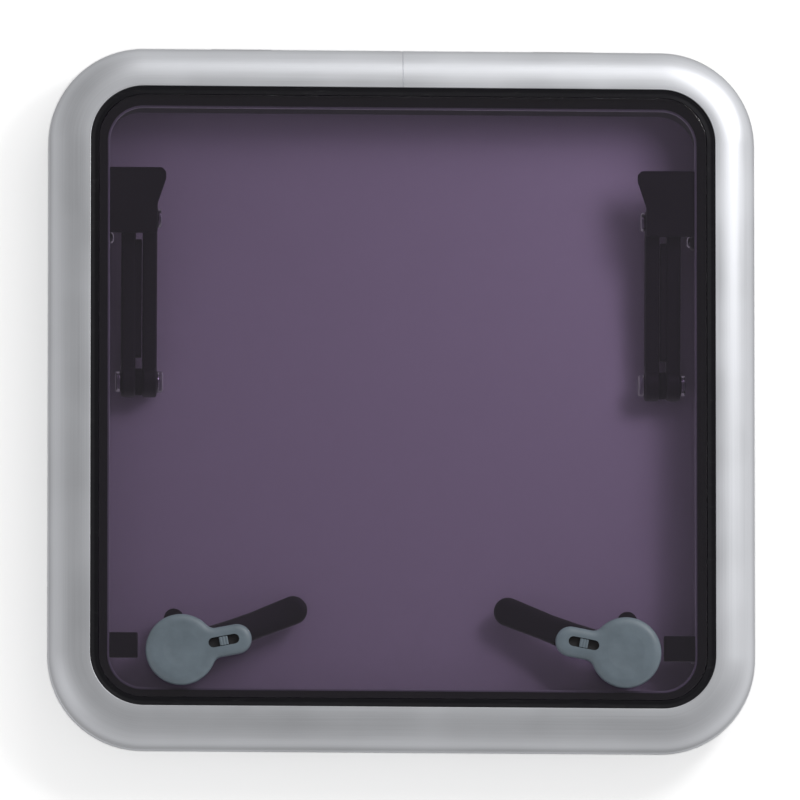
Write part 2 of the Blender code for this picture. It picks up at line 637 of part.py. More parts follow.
def main():
    clear_scene()
    finishes = make_materials()
    base_frame = build_base_frame(finishes)
    lid = pivot_at("lid_axis", (0, HINGE_Y, HINGE_Z))
    lid_frame = build_lid(finishes, lid)
    stay_y, stay_z = stay_point(LINK)
    for name, side in SIDES.items():
        build_hinge(name, side, finishes, lid)
        lower = pivot_at(f"stay_lower_axis_{name}", (side * 193, stay_y, stay_z))
        upper = pivot_at(f"stay_upper_axis_{name}", (side * 178, stay_y, stay_z), lid)
        build_stay(name, side, finishes, lid, lower, upper, (base_frame, lid_frame))
        handle = pivot_at(f"handle_axis_{name}", (side * SPINDLE_X, SPINDLE_Y, LENS_TOP), lid)
        lock_x, lock_y = handle_point(side, 30.5, 0, NECK_ANGLE)
        lock = pivot_at(f"lock_axis_{name}", (lock_x, lock_y, 58), handle)
        build_handle(name, side, finishes, lid, handle, lock, base_frame)


main()
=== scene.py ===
"""The finished look of a deck hatch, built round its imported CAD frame.

Every CAD node is stood for by a finished piece with true arcs, filleted edges and its own finish.
Lengths are written in millimetres and made into metres by MM where a mesh is made.
"""

import json
import math

import bmesh
import bpy
import numpy as np
from mathutils import Matrix, Vector

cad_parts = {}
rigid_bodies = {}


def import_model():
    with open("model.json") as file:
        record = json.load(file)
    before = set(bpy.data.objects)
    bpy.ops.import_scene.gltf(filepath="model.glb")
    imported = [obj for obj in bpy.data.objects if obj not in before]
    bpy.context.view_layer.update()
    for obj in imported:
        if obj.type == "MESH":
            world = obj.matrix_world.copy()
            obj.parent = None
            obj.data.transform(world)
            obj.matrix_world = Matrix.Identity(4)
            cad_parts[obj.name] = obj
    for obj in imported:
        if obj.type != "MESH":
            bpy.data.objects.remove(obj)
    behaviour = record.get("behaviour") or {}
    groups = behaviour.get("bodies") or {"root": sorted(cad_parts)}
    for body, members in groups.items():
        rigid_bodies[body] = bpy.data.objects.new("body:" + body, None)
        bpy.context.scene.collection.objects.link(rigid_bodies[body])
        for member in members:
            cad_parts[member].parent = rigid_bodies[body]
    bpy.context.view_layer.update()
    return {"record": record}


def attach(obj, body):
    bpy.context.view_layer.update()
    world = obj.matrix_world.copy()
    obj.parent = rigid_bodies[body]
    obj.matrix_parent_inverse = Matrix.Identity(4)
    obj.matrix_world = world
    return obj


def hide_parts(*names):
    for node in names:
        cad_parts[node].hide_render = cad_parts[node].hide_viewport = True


bl_info = {
    "name": "Deck hatch",
    "version": (1, 0, 0),
    "blender": (4, 5, 0),
    "location": "3D View > Sidebar > Hatch",
    "description": "Builds the finished pieces of a low-profile deck hatch on its CAD frame",
    "category": "Object",
}

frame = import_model()
BODY_OF = {n: b for b, nodes in frame["record"]["behaviour"]["bodies"].items() for n in nodes}

MM = 0.001
GAP = 0.3
SIDES = {"left": -1, "right": 1}
CORNER_CENTRE = 183.0
DECK_Z, FLANGE_TOP, UPSTAND_TOP = 22.0, 25.5, 34.0
FLANGE_HALF, SPIGOT_HALF, SPIGOT_BORE = 250.0, 213.0, 209.5
UPSTAND_OUT, UPSTAND_IN = 228.5, 225.5
SKIRT_OUT, SKIRT_IN, SKIRT_BOTTOM = 249.4, 247.4, 28.0
CROWN_U, CROWN_Z, CROWN_FOOT = 223.0, 50.8, 34.8
LIP_HALF, LEDGE_IN, LENS_HALF = 221.0, 207.0, 215.0
CHANNEL_BOTTOM, LEDGE_BOTTOM, LEDGE_TOP = 33.0, 36.5, 39.0
LENS_BOTTOM, LENS_TOP = 40.0, 50.0
HINGE_X, HINGE_Y, HINGE_Z, KNUCKLE_RADIUS = 114.0, 246.0, 31.0, 4.0
HINGE_HALF, CENTRE_KNUCKLE_HALF, NOTCH_TOP = 20.0, 7.5, 36.5
LINK, STAY_DROP = 116.0, math.radians(4.5)
STAY_PIVOT_RADIUS = 4.0
LOWER_ARM_X, UPPER_ARM_X, STAY_EAR_X = (188.0, 198.0), (172.8, 183.0), (183.5, 187.5)
STAY_RIB_X, STAY_RIB_ALONG, STAY_RIB_HALF = (183.6, 188.6), (131.0, 215.0), 4.0
BRACKET_BACK_X, BRACKET_FACE_X = 209.2, 205.9
SPINDLE_X, SPINDLE_Y, SPINDLE_RADIUS, BUSH_RADIUS = 157.0, -182.0, 6.0, 11.0
NECK_ANGLE, LEVER_ANGLE, DOG_ANGLE = 11.0, 23.0, 97.0
HANDLE_BOTTOM, HANDLE_TOP = 52.0, 60.0
DOG_BOTTOM, DOG_TOP, DOG_REACH = 9.0, 15.6, 35.0
LEVER_BOTTOM, LEVER_TOP, SPINDLE_TOP = 16.0, 36.2, 57.0
KEEPER_Y, KEEPER_HALF, KEEPER_REACH_X = -174.0, 9.0, 186.0
FIXING_U, FIXING_PLACES = 238.0, (-171.0, -57.0, 57.0, 171.0)
FIXING_RADIUS, COUNTERSINK_RADIUS = 2.6, 4.9
LID_SCREW_X, LID_SCREW_PLACES = 212.0, (125.0, 157.0)
BRACKET_SCREW_PLACES, BRACKET_SCREW_Z, KEEPER_SCREW_Z = (-12.5, 12.5), 11.0, 9.5
SCREW_HOLE, TAPPED_HOLE = 2.3, 2.2


# ------------------------------------------------------------------ outlines and solids

def arc(centre, radius, start, end, steps):
    """A circular arc: centre plus radius times (cos, sin) of evenly spaced angles in degrees."""
    turn = np.radians(np.linspace(start, end, steps + 1))
    return np.asarray(centre, float) + radius * np.stack([np.cos(turn), np.sin(turn)], 1)


def path(*parts):
    """Points and arcs joined in order as one outline."""
    return np.concatenate([np.atleast_2d(np.asarray(part, float)) for part in parts])


def tidy_outline(points):
    """The outline without points that repeat the one before."""
    step = np.linalg.norm(points - np.roll(points, 1, 0), axis=1)
    return points[step > 1e-4]


def filleted(corners, radii, steps=5):
    """A closed outline with its corners rounded.

    Each arc touches the two edges at radius / tan(half the corner's angle) from the corner, and its
    centre is on the bisector at radius / sin(half the angle). A radius its edges can't hold shrinks.
    """
    p = np.asarray(corners, float)
    back, ahead = np.roll(p, 1, 0) - p, np.roll(p, -1, 0) - p
    back_length, ahead_length = np.linalg.norm(back, axis=1), np.linalg.norm(ahead, axis=1)
    a, b = back / back_length[:, None], ahead / ahead_length[:, None]
    half = np.minimum(np.arccos(np.clip((a * b).sum(1), -1, 1)) / 2, math.pi / 2 - 1e-4)
    room = 0.48 * np.minimum(back_length, ahead_length)
    reach = np.minimum(np.broadcast_to(radii, len(p)) / np.tan(half), room)
    radius = reach * np.tan(half)
    bisector = (a + b) / np.maximum(np.linalg.norm(a + b, axis=1), 1e-9)[:, None]
    centre = p + bisector * (radius / np.sin(half))[:, None]
    first, last = p + a * reach[:, None] - centre, p + b * reach[:, None] - centre
    start, end = np.arctan2(first[:, 1], first[:, 0]), np.arctan2(last[:, 1], last[:, 0])
    turn = (end - start + math.pi) % (2 * math.pi) - math.pi
    angle = start[:, None] + turn[:, None] * np.linspace(0, 1, steps + 1)
    swept = np.stack([np.cos(angle), np.sin(angle)], 2) * radius[:, None, None]
    return tidy_outline((centre[:, None] + swept).reshape(-1, 2))


def inset(outline, distance):
    """The outline moved inwards, each point along its mitre: the edge normals' sum over 1 + their dot."""
    edge = np.roll(outline, -1, 0) - outline
    edge /= np.linalg.norm(edge, axis=1)[:, None]
    x, y = outline.T
    way_round = np.sign((x * np.roll(y, -1) - y * np.roll(x, -1)).sum())
    normal = np.stack([edge[:, 1], -edge[:, 0]], 1) * way_round
    last = np.roll(normal, 1, 0)
    mitre = (normal + last) / (1 + (normal * last).sum(1))[:, None]
    return outline - mitre * distance


def sweep(points, close_path=False, close_section=True, caps=False):
    """Faces over a grid of points whose rows follow a path and whose columns go round a section.

    Each face's UV is the mean length run so far along the rows and along the columns, in metres.
    Returns (points, quads, their UVs, and the rows of points that close the two ends).
    """
    rows, columns = points.shape[:2]
    i = np.arange(rows if close_path else rows - 1)
    j = np.arange(columns if close_section else columns - 1)
    i, j = (a.ravel() for a in np.meshgrid(i, j, indexing="ij"))
    corners = ((i, j), (i, j + 1), (i + 1, j + 1), (i + 1, j))
    quads = np.stack([(a % rows) * columns + b % columns for a, b in corners], 1)
    wrapped = np.pad(points, ((0, 1), (0, 1), (0, 0)), mode="wrap")
    run = [
        np.concatenate([[0], np.cumsum(np.linalg.norm(np.diff(wrapped, axis=k), axis=2).mean(1 - k))])
        for k in (0, 1)
    ]
    uv = np.stack([np.stack([run[0][a], run[1][b]], 1) for a, b in corners], 1) * MM
    ends = []
    if caps:
        last = (rows - 1) * columns
        ends = [np.arange(columns)[::-1], np.arange(columns) + last]
    return points.reshape(-1, 3), quads, uv, ends


def stand(flat, level, axis):
    """(a, b) points at a level, as points in space: the level is along the axis named."""
    flat, level = np.broadcast_arrays(flat, np.asarray(level, float)[..., None])
    a, b, along = flat[..., 0], flat[..., 1], level[..., 0]
    order = {"X": (along, a, b), "Y": (a, along, b), "Z": (a, b, along)}[axis]
    return np.stack(order, -1)


def plate(outline, low, high, edge, axis="Z", steps=4):
    """An outline run along an axis with quarter-round edges.

    At angle t up the edge, the outline is inset by edge * (1 - sin t) and raised by edge * (1 - cos t).
    """
    low, high = min(low, high), max(low, high)
    t = np.linspace(0, math.pi / 2, steps + 1)
    insets, rises = edge * (1 - np.sin(t)), edge * (1 - np.cos(t))
    levels = np.concatenate([low + rises, (high - rises)[::-1]])
    loops = np.stack([inset(outline, d) for d in np.concatenate([insets, insets[::-1]])])
    return sweep(stand(loops, levels[:, None], axis), caps=True)


def hexagon(turn):
    """How far a hexagon's side is from its centre at an angle, over its half-width across flats."""
    return 1 / np.cos((turn + math.pi / 6) % (math.pi / 3) - math.pi / 6)


def turned(profile, centre, axis="Z", sides=48, bored=False):
    """A profile of (radius, height) turned about an axis.

    A third number from 0 to 1 draws that point's circle towards a hexagon as wide across flats.
    """
    p = np.asarray([(*row, 0.0)[:3] for row in profile], float)
    turn = np.linspace(0, 2 * math.pi, sides, endpoint=False)[:, None]
    radius = p[:, 0] * (1 + p[:, 2] * (hexagon(turn) - 1))
    flat = np.stack([radius * np.cos(turn), radius * np.sin(turn)], 2)
    points = stand(flat, np.broadcast_to(p[:, 1], radius.shape), axis) + np.asarray(centre, float)
    return sweep(points, close_path=True, close_section=bored)


def softened(profile, radius, steps=3):
    """An open or closed profile with small fillets; points on the axis stay put."""
    p = np.asarray(profile, float)
    return filleted(p, np.where(p[:, 0] < 1e-6, 0.0, radius), steps)


def shaft(runs, edge):
    """A softened profile through (radius, from, to) runs in order, closed on the axis at both ends."""
    steps = [(radius, end) for radius, *ends in runs for end in ends]
    return softened([(0, runs[0][1]), *steps, (0, runs[-1][2])], edge)


def ring_path(marks=(), corner_steps=24):
    """Stations round the hatch: a centre and an outward direction for each.

    In a corner the centre is the corner's and the direction turns. Marks are x positions of extra
    stations along the straight rear side.
    """
    centres, directions = [], []
    for quarter, corner in enumerate(((1, 1), (-1, 1), (-1, -1), (1, -1))):
        fan = arc((0, 0), 1.0, quarter * 90, quarter * 90 + 90, corner_steps)
        directions.append(fan)
        centres.append(np.broadcast_to(np.asarray(corner) * CORNER_CENTRE, fan.shape))
        if quarter == 0 and len(marks):
            x = np.sort(np.asarray(marks, float))[::-1]
            centres.append(np.stack([x, np.full(len(x), CORNER_CENTRE)], 1))
            directions.append(np.broadcast_to((0.0, 1.0), (len(x), 2)))
    return np.concatenate(centres), np.concatenate(directions)


def round_hatch(section, stations):
    """(half-width, height) points at each station: centre + direction * (half-width - corner centre)."""
    centres, directions = stations
    section = np.broadcast_to(section, (len(centres), *np.shape(section)[-2:]))
    plan = centres[:, None] + directions[:, None] * (section[..., :1] - CORNER_CENTRE)
    return np.concatenate([plan, section[..., 1:]], 2)


def hatch_ring(section, stations=None):
    """A closed section carried all the way round the hatch."""
    return sweep(round_hatch(section, stations or ring_path()), close_path=True)


def half_width(points):
    """How far out a point is: the corner centre's distance plus the length of what lies beyond it."""
    beyond = np.clip(np.abs(points[:, :2]) - CORNER_CENTRE, 0, None)
    return CORNER_CENTRE + np.hypot(beyond[:, 0], beyond[:, 1])


def crown(depth, angles):
    """Points of the lid's quarter ellipse, at a depth below it and at angles off its top."""
    turn = np.radians(np.asarray(angles, float))
    reach, rise = SKIRT_OUT - CROWN_U - depth, CROWN_Z - CROWN_FOOT - depth
    return np.stack([CROWN_U + reach * np.sin(turn), CROWN_FOOT + rise * np.cos(turn)], 1)


# ------------------------------------------------------------------ objects

def mesh_of(name, solids, finishes=()):
    """One mesh from several swept solids, with merged seams, outward faces and a UV map."""
    points, loops, uvs, start = [], [], [], 0
    for verts, quads, uv, ends in solids:
        points.append(verts)
        loops += (quads + start).tolist() + [(end + start).tolist() for end in ends]
        uvs += [uv.reshape(-1, 2), *[verts[end][:, :2] * MM for end in ends]]
        start += len(verts)
    mesh = bpy.data.meshes.new(name)
    mesh.from_pydata(np.concatenate(points) * MM, [], loops)
    layer = mesh.uv_layers.new(name="along")
    layer.data.foreach_set("uv", np.concatenate(uvs).astype(np.float32).ravel())
    for finish in finishes:
        mesh.materials.append(finish)
    work = bmesh.new()
    work.from_mesh(mesh)
    bmesh.ops.remove_doubles(work, verts=work.verts, dist=0.002 * MM)
    bmesh.ops.dissolve_degenerate(work, edges=work.edges, dist=0.001 * MM)
    bmesh.ops.recalc_face_normals(work, faces=work.faces)
    work.to_mesh(mesh)
    work.free()
    return mesh


def link(name, mesh):
    """An object for a mesh, at the origin."""
    made = bpy.data.objects.new(name, mesh)
    bpy.context.scene.collection.objects.link(made)
    return made


def finished(node, solids, finish, add=(), cut=(), lined=(), sharp=38.0):
    """The finished piece for a CAD node: solids joined with others, cut by others, and smoothed.

    A cut's walls take the piece's finish, and lined holds (solids, finish) cuts with another.
    """
    piece = link(f"{node}_finished", mesh_of(f"{node}_finished", solids, [finish]))
    steps = [("UNION", group, finish) for group in add]
    steps += [("DIFFERENCE", group, finish) for group in cut]
    steps += [("DIFFERENCE", *lining) for lining in lined]
    tools = []
    for operation, group, walls in steps:
        tools.append(link(f"{node}_tool", mesh_of(f"{node}_tool", group, [walls])))
        step = piece.modifiers.new(operation, "BOOLEAN")
        step.operation, step.solver, step.object = operation, "EXACT", tools[-1]
        step.material_mode = "TRANSFER"
    if tools:
        depsgraph = bpy.context.evaluated_depsgraph_get()
        piece.data = bpy.data.meshes.new_from_object(
            piece.evaluated_get(depsgraph), preserve_all_data_layers=True, depsgraph=depsgraph)
        piece.data.name = piece.name
        piece.modifiers.clear()
        for tool in tools:
            bpy.data.objects.remove(tool)
    piece.data.shade_smooth()
    piece.data.set_sharp_from_angle(angle=math.radians(sharp))
    weighted = piece.modifiers.new("even_shading", "WEIGHTED_NORMAL")
    weighted.keep_sharp = True
    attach(piece, BODY_OF[node])
    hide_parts(node)
    return piece


# ------------------------------------------------------------------ finishes

def node(tree, kind, inputs=None, **settings):
    """A shader node with its settings and inputs; an input that is a socket gets a link."""
    made = tree.nodes.new(kind)
    for key, value in settings.items():
        setattr(made, key, value)
    for key, value in (inputs or {}).items():
        if isinstance(value, bpy.types.NodeSocket):
            tree.links.new(value, made.inputs[key])
        else:
            made.inputs[key].default_value = value
    return made


def even(value):
    """The same value in X, Y and Z."""
    return (value,) * 3


def pattern(tree, coordinates, stretch, detail=3.0, roughness=0.55, offset=0.0):
    """Noise on object or UV coordinates, with its own number of features per metre each way."""
    source = node(tree, "ShaderNodeTexCoord").outputs[coordinates]
    mapped = node(tree, "ShaderNodeMapping", {
        "Vector": source, "Scale": stretch, "Location": even(offset)})
    return node(tree, "ShaderNodeTexNoise", {
        "Vector": mapped.outputs[0], "Scale": 1.0, "Detail": detail, "Roughness": roughness,
    }).outputs["Fac"]


def spread(tree, value, low, high, start=0.3, end=0.7):
    """A value carried from one span to another."""
    return node(tree, "ShaderNodeMapRange", {
        "Value": value, "From Min": start, "From Max": end, "To Min": low, "To Max": high,
    }).outputs[0]


def blend_colour(tree, factor, first, second):
    """Two colours mixed by a factor."""
    return node(tree, "ShaderNodeMix", {0: factor, 6: first, 7: second}, data_type="RGBA").outputs[2]


def total(tree, first, second, share):
    """first + share * second."""
    return node(
        tree, "ShaderNodeMath", {0: second, 1: share, 2: first}, operation="MULTIPLY_ADD").outputs[0]


def tinted(colour, share):
    """A colour made lighter or darker by a share."""
    return (*[min(1.0, channel * share) for channel in colour[:3]], 1.0)


def start_finish(name):
    """A new material with its tree and Principled shader."""
    made = bpy.data.materials.new(name)
    made.use_nodes = True
    return made, made.node_tree, made.node_tree.nodes["Principled BSDF"]


def wire(tree, shader, **inputs):
    """Values and links put on a shader's own sockets."""
    for key, value in inputs.items():
        socket = shader.inputs[key.replace("_", " ")]
        if isinstance(value, bpy.types.NodeSocket):
            tree.links.new(value, socket)
        else:
            socket.default_value = value


def metal(name, colour, roughness, lines, line_depth, grain_depth):
    """Metal with fine lines that run along the piece, soft clouds of tone and an etched grain."""
    made, tree, shader = start_finish(name)
    streak = pattern(tree, "UV", (lines[0], lines[1], 1.0), 4.0, 0.6)
    cloud = pattern(tree, "Object", even(17.0), 2.0, 0.5, 3.0)
    grain = pattern(tree, "Object", even(1900.0), 2.0, 0.5)
    mixed = total(tree, streak, cloud, 1.0)
    tone = blend_colour(
        tree, spread(tree, mixed, 0.0, 1.0, 0.75, 1.25), tinted(colour, 0.93), tinted(colour, 1.04))
    height = total(tree, spread(tree, streak, 0.0, line_depth), grain, grain_depth)
    bump = node(tree, "ShaderNodeBump", {"Height": height, "Strength": 1.0, "Distance": 1.0})
    wire(
        tree, shader, Base_Color=tone, Metallic=1.0, Normal=bump.outputs[0],
        Roughness=spread(tree, mixed, roughness - 0.035, roughness + 0.045, 0.75, 1.25),
    )
    return made


def moulded(name, colour, roughness, grain, depth, specular=0.5, dust=0.0):
    """Moulded plastic or rubber: grained surface, mottled tone, faint scuffs and a little dust."""
    made, tree, shader = start_finish(name)
    fine = pattern(tree, "Object", even(grain), 3.0, 0.6)
    mottle = pattern(tree, "Object", even(60.0), 4.0, 0.6, 5.0)
    scuff = pattern(tree, "Object", (90.0, 900.0, 400.0), 3.0, 0.7, 9.0)
    tone = blend_colour(
        tree, spread(tree, mottle, 0.0, 1.0), tinted(colour, 0.88), tinted(colour, 1.1))
    tone = blend_colour(
        tree, spread(tree, scuff, 0.0, 0.16 + dust, 0.58, 0.75), tone,
        tuple(channel * 0.7 + 0.12 for channel in colour[:3]) + (1.0,))
    height = spread(tree, fine, 0.0, depth, 0.2, 0.8)
    bump = node(tree, "ShaderNodeBump", {"Height": height, "Strength": 1.0, "Distance": 1.0})
    worn = total(tree, spread(tree, mottle, roughness - 0.05, roughness + 0.06), fine, 0.05)
    wire(
        tree, shader, Base_Color=tone, Roughness=worn, Normal=bump.outputs[0],
        Specular_IOR_Level=specular,
    )
    return made


def smoked(name, tint, settings):
    """Smoked acrylic: a clear tint mixed with a polished surface that has a faint haze and dust."""
    made, tree, shader = start_finish(name)
    share = 0.35
    haze = pattern(tree, "Object", even(9.0), 3.0, 0.6, 2.0)
    specks = pattern(tree, "Object", even(420.0), 2.0, 0.7)
    tone = blend_colour(
        tree, spread(tree, haze, 0.0, 1.0),
        tinted(settings.lens_haze, 0.85), tinted(settings.lens_haze, 1.15))
    dust = spread(tree, specks, 0.0, 1.0, 0.66, 0.8)
    polish = total(tree, spread(tree, haze, 0.035, 0.07), dust, 0.08)
    wire(tree, shader, Base_Color=tone, Roughness=polish, IOR=settings.lens_ior)
    clear = node(tree, "ShaderNodeBsdfTransparent", {
        "Color": tuple(min(1.0, channel / (1 - share)) for channel in tint) + (1.0,)})
    mix = node(tree, "ShaderNodeMixShader", {0: share, 1: clear.outputs[0], 2: shader.outputs[0]})
    tree.links.new(mix.outputs[0], tree.nodes["Material Output"].inputs["Surface"])
    return made


FINISHES = {}


def make_finishes(settings):
    """Every finish on the hatch, by name."""
    FINISHES.update(
        lid_aluminium=metal(
            "lid_anodised", settings.aluminium, settings.aluminium_roughness, (5.0, 1500.0), 4e-6, 9e-6),
        base_aluminium=metal(
            "base_anodised", settings.aluminium, settings.aluminium_roughness + 0.05,
            (5.0, 1200.0), 5e-6, 1.1e-5),
        fitting_aluminium=metal(
            "fitting_anodised", settings.aluminium, settings.aluminium_roughness,
            (12.0, 1500.0), 5e-6, 9e-6),
        steel=metal("turned_stainless", settings.steel, 0.24, (40.0, 4200.0), 6e-6, 3e-6),
        acrylic=smoked("smoked_acrylic_sheet", settings.lens_tint, settings),
        # painted shade: a dark finish for the coaming's bore, standing in for the shade inside the hatch
        coaming=moulded("coaming_coat", tinted(settings.rubber, 3.0), 0.6, 900.0, 1.2e-5, 0.25),
        sealant=moulded("lens_sealant_rubber", settings.rubber, 0.6, 500.0, 3e-5, 0.2),
        seal=moulded("lid_seal_rubber", settings.rubber, 0.62, 900.0, 2e-5, 0.35, 0.05),
        friction=moulded("friction_fibre", tinted(settings.rubber, 1.6), 0.75, 1500.0, 6e-5, 0.3, 0.1),
        grey=moulded("grey_moulding", settings.handle_grey, 0.4, 1500.0, 1.6e-5),
        black=moulded("black_moulding", settings.fitting_black, 0.42, 1300.0, 1.8e-5),
        black_arm=moulded(
            "stay_arm_moulding", tinted(settings.fitting_black, 1.5), 0.46, 1100.0, 2.4e-5),
        # painted shade: a darker black on the handles' recess faces, standing in for the shade in the
        # slot
        recess=moulded("recess_moulding", tinted(settings.fitting_black, 0.7), 0.5, 1300.0, 1.5e-5),
    )


# ------------------------------------------------------------------ base frame and lid

def fixing_tool(x, y):
    """A countersunk hole's cutter: shank, cone and clearance above the flange."""
    shank, head = FIXING_RADIUS, COUNTERSINK_RADIUS
    profile = ((0, DECK_Z - 3), (shank, DECK_Z - 3), (shank, FLANGE_TOP - 2.4),
               (head, FLANGE_TOP - 0.1), (head, FLANGE_TOP + 3), (0, FLANGE_TOP + 3))
    return turned(profile, (x, y, 0), sides=32)


def round_tool(radius, low, high, centre, axis="Z", sides=40):
    """A plain round cutter."""
    low, high = min(low, high), max(low, high)
    return turned(((0, low), (radius, low), (radius, high), (0, high)), centre, axis, sides)


def bracket_screw_places():
    """Centres of a stay base bracket's two screws, on the middle plane."""
    return [(0, stay_point(LINK)[0] + offset, BRACKET_SCREW_Z) for offset in BRACKET_SCREW_PLACES]


def lid_screw_places(side):
    """Centres of a stay lid bracket's two screws."""
    return [(side * LID_SCREW_X, y, 0) for y in LID_SCREW_PLACES]


def make_base_frame(settings):
    """The flanged base extrusion, drilled for its deck screws and for the fittings' screws."""
    corners = (
        (SPIGOT_BORE, 0), (SPIGOT_HALF, 0), (SPIGOT_HALF, DECK_Z), (FLANGE_HALF, DECK_Z),
        (FLANGE_HALF, FLANGE_TOP), (UPSTAND_OUT, FLANGE_TOP), (UPSTAND_OUT, UPSTAND_TOP),
        (UPSTAND_IN, UPSTAND_TOP), (UPSTAND_IN, FLANGE_TOP), (SPIGOT_BORE, FLANGE_TOP),
    )
    radii = (0.5, 0.5, 0.0, 0.4, 1.6, 0.8, 0.9, 0.9, 0.8, 0.8)
    places = [(x, side * FIXING_U) for x in FIXING_PLACES for side in (-1, 1)]
    holes = [fixing_tool(x, y) for x, y in places] + [fixing_tool(y, x) for x, y in places]
    holes += [
        round_tool(TAPPED_HOLE, side * 200, side * 220, place, "X", 24)
        for side in SIDES.values() for place in (*bracket_screw_places(), (0, KEEPER_Y, KEEPER_SCREW_Z))
    ]
    base = finished(
        "base_frame", [hatch_ring(filleted(corners, radii))], FINISHES["base_aluminium"], cut=[holes])
    # painted shade: the inside of the coaming, up to the foot of the upstand, takes a dark finish that
    # stands in for the shade within the hatch
    base.data.materials.append(FINISHES["coaming"])
    centres = np.empty(len(base.data.polygons) * 3)
    base.data.polygons.foreach_get("center", centres)
    inside = half_width(centres.reshape(-1, 3) / MM) < SPIGOT_BORE + 0.7
    base.data.polygons.foreach_set("material_index", inside.astype(np.int32))


def lid_stations(settings):
    """Stations round the lid, with marks at the hinge notches and the frame's joint."""
    reach, groove = HINGE_HALF + 1.2, settings.joint_width * 500
    edges = [side * HINGE_X + way * (reach + nudge)
             for side in (-1, 1) for way in (-1, 1) for nudge in (0.0, 0.01)]
    joint = [way * groove * share for way in (-1, 1) for share in (1.0, 0.35)]
    return ring_path([*edges, *joint, 0.0])


def make_lid_frame(settings):
    """The crowned lid extrusion with its seal channel, lens ledge, hinge notches and butt joint.

    At a station inside a hinge notch, section points lower than the notch's top are raised to it.
    At the joint, points of the crown and skirt move towards the crown's centre by the groove's depth.
    """
    inner, outer, wall = LIP_HALF + 2.0, LIP_HALF + 10.0, LIP_HALF + 12.0
    lip = path((LIP_HALF, CROWN_Z - 1.6), arc((LIP_HALF + 0.5, CROWN_Z - 0.5), 0.5, 170, 95, 6),
               (CROWN_U, CROWN_Z))
    top = crown(0.0, np.linspace(0, 90, 41)[1:])
    inside = crown(SKIRT_OUT - SKIRT_IN, np.linspace(90, 28, 16))
    rest = filleted(
        path(
            (LIP_HALF, 47.0), (LIP_HALF + 3, 49), (SKIRT_OUT, 32), (SKIRT_OUT, SKIRT_BOTTOM),
            (SKIRT_IN, SKIRT_BOTTOM), (SKIRT_IN, 32),
            (wall, 46.0), (wall, CHANNEL_BOTTOM), (outer, CHANNEL_BOTTOM), (outer, 38.8),
            (outer - 2.3, 38.8), (outer - 2.3, 40.3), (outer, 40.3), (outer, 47.4), (inner, 47.4),
            (inner, 40.3), (inner + 2.3, 40.3), (inner + 2.3, 38.8), (inner, 38.8),
            (inner, CHANNEL_BOTTOM), (LIP_HALF, CHANNEL_BOTTOM), (LIP_HALF, LEDGE_BOTTOM),
            (LEDGE_IN, LEDGE_BOTTOM), (LEDGE_IN, LEDGE_TOP), (LIP_HALF, LEDGE_TOP),
        ),
        (0, 0, 0, 0.7, 0.7, 0, 0, 0.5, 0.5, 0.25, 0.35, 0.35, 0.25, 0.6, 0.6, 0.25, 0.35, 0.35,
         0.25, 0.5, 0.5, 0.4, 0.5, 0.5, 0.3), 3,
    )
    # the straight guide points stand in for the crown and the hollow, and are put back as curves
    guide = lambda u, z: int(np.argmin(np.hypot(rest[:, 0] - u, rest[:, 1] - z)))
    a, b, c = guide(SKIRT_OUT, 32), guide(SKIRT_IN, 32), guide(wall, 46)
    section = path(lip, top, rest[a:b + 1], inside, rest[c:])
    section = tidy_outline(section)
    stations = lid_stations(settings)
    x, on_rear = stations[0][:, 0], np.isclose(stations[0][:, 1], CORNER_CENTRE)
    reach = HINGE_HALF + 1.2
    in_notch = on_rear & (np.abs(np.abs(x) - HINGE_X) < reach + 0.005)
    whole = np.repeat(section[None], len(x), 0)
    low = in_notch[:, None] & (whole[..., 0] > SKIRT_IN - 2) & (whole[..., 1] < NOTCH_TOP)
    whole[..., 1] = np.where(low, NOTCH_TOP, whole[..., 1])
    centre = np.array([CROWN_U, CROWN_FOOT])
    away = section - centre
    away /= np.linalg.norm(away, axis=1)[:, None]
    shown = np.arange(len(section)) < len(lip) + len(top) + 2
    groove = settings.joint_width * 500
    at_joint = on_rear & (np.abs(x) < groove * 0.5)
    sink = (at_joint[:, None] & shown)[..., None] * (settings.joint_depth * 1000)
    whole = whole - away * sink
    finished(
        "lid_frame", [hatch_ring(whole, stations)], FINISHES["lid_aluminium"],
        cut=[[round_tool(TAPPED_HOLE, 30, LEDGE_TOP + 1.8, place, sides=24)
              for side in SIDES.values() for place in lid_screw_places(side)]],
    )
    splice = path(crown(2.5, np.linspace(28, 75, 10)), crown(5.0, np.linspace(75, 32, 10)))
    finished("frame_splice", [plate(splice, -26, 26, 0.3, "X", 2)], FINISHES["fitting_aluminium"])


def slab(levels, stations=None):
    """A rounded-square sheet through (half-width, height) levels, closed below and above."""
    loops = round_hatch(np.asarray(levels, float), stations or ring_path())
    return sweep(np.swapaxes(loops, 0, 1), caps=True)


def make_lens(settings):
    """The acrylic sheet with polished round edges, and its two holes for the handle bushes."""
    edge = settings.lens_edge * 1000
    low = arc((LENS_HALF - 0.5, LENS_BOTTOM + 0.5), 0.5, -90, 0, 3)
    high = arc((LENS_HALF - edge, LENS_TOP - edge), edge, 0, 90, 6)
    level = path((LENS_HALF - 4, LENS_BOTTOM), low, high, (LENS_HALF - 4, LENS_TOP))
    holes = [round_tool(BUSH_RADIUS + GAP, LENS_BOTTOM - 3, LENS_TOP + 3,
                        (side * SPINDLE_X, SPINDLE_Y, 0)) for side in SIDES.values()]
    finished("lens", [slab(level)], FINISHES["acrylic"], cut=[holes])


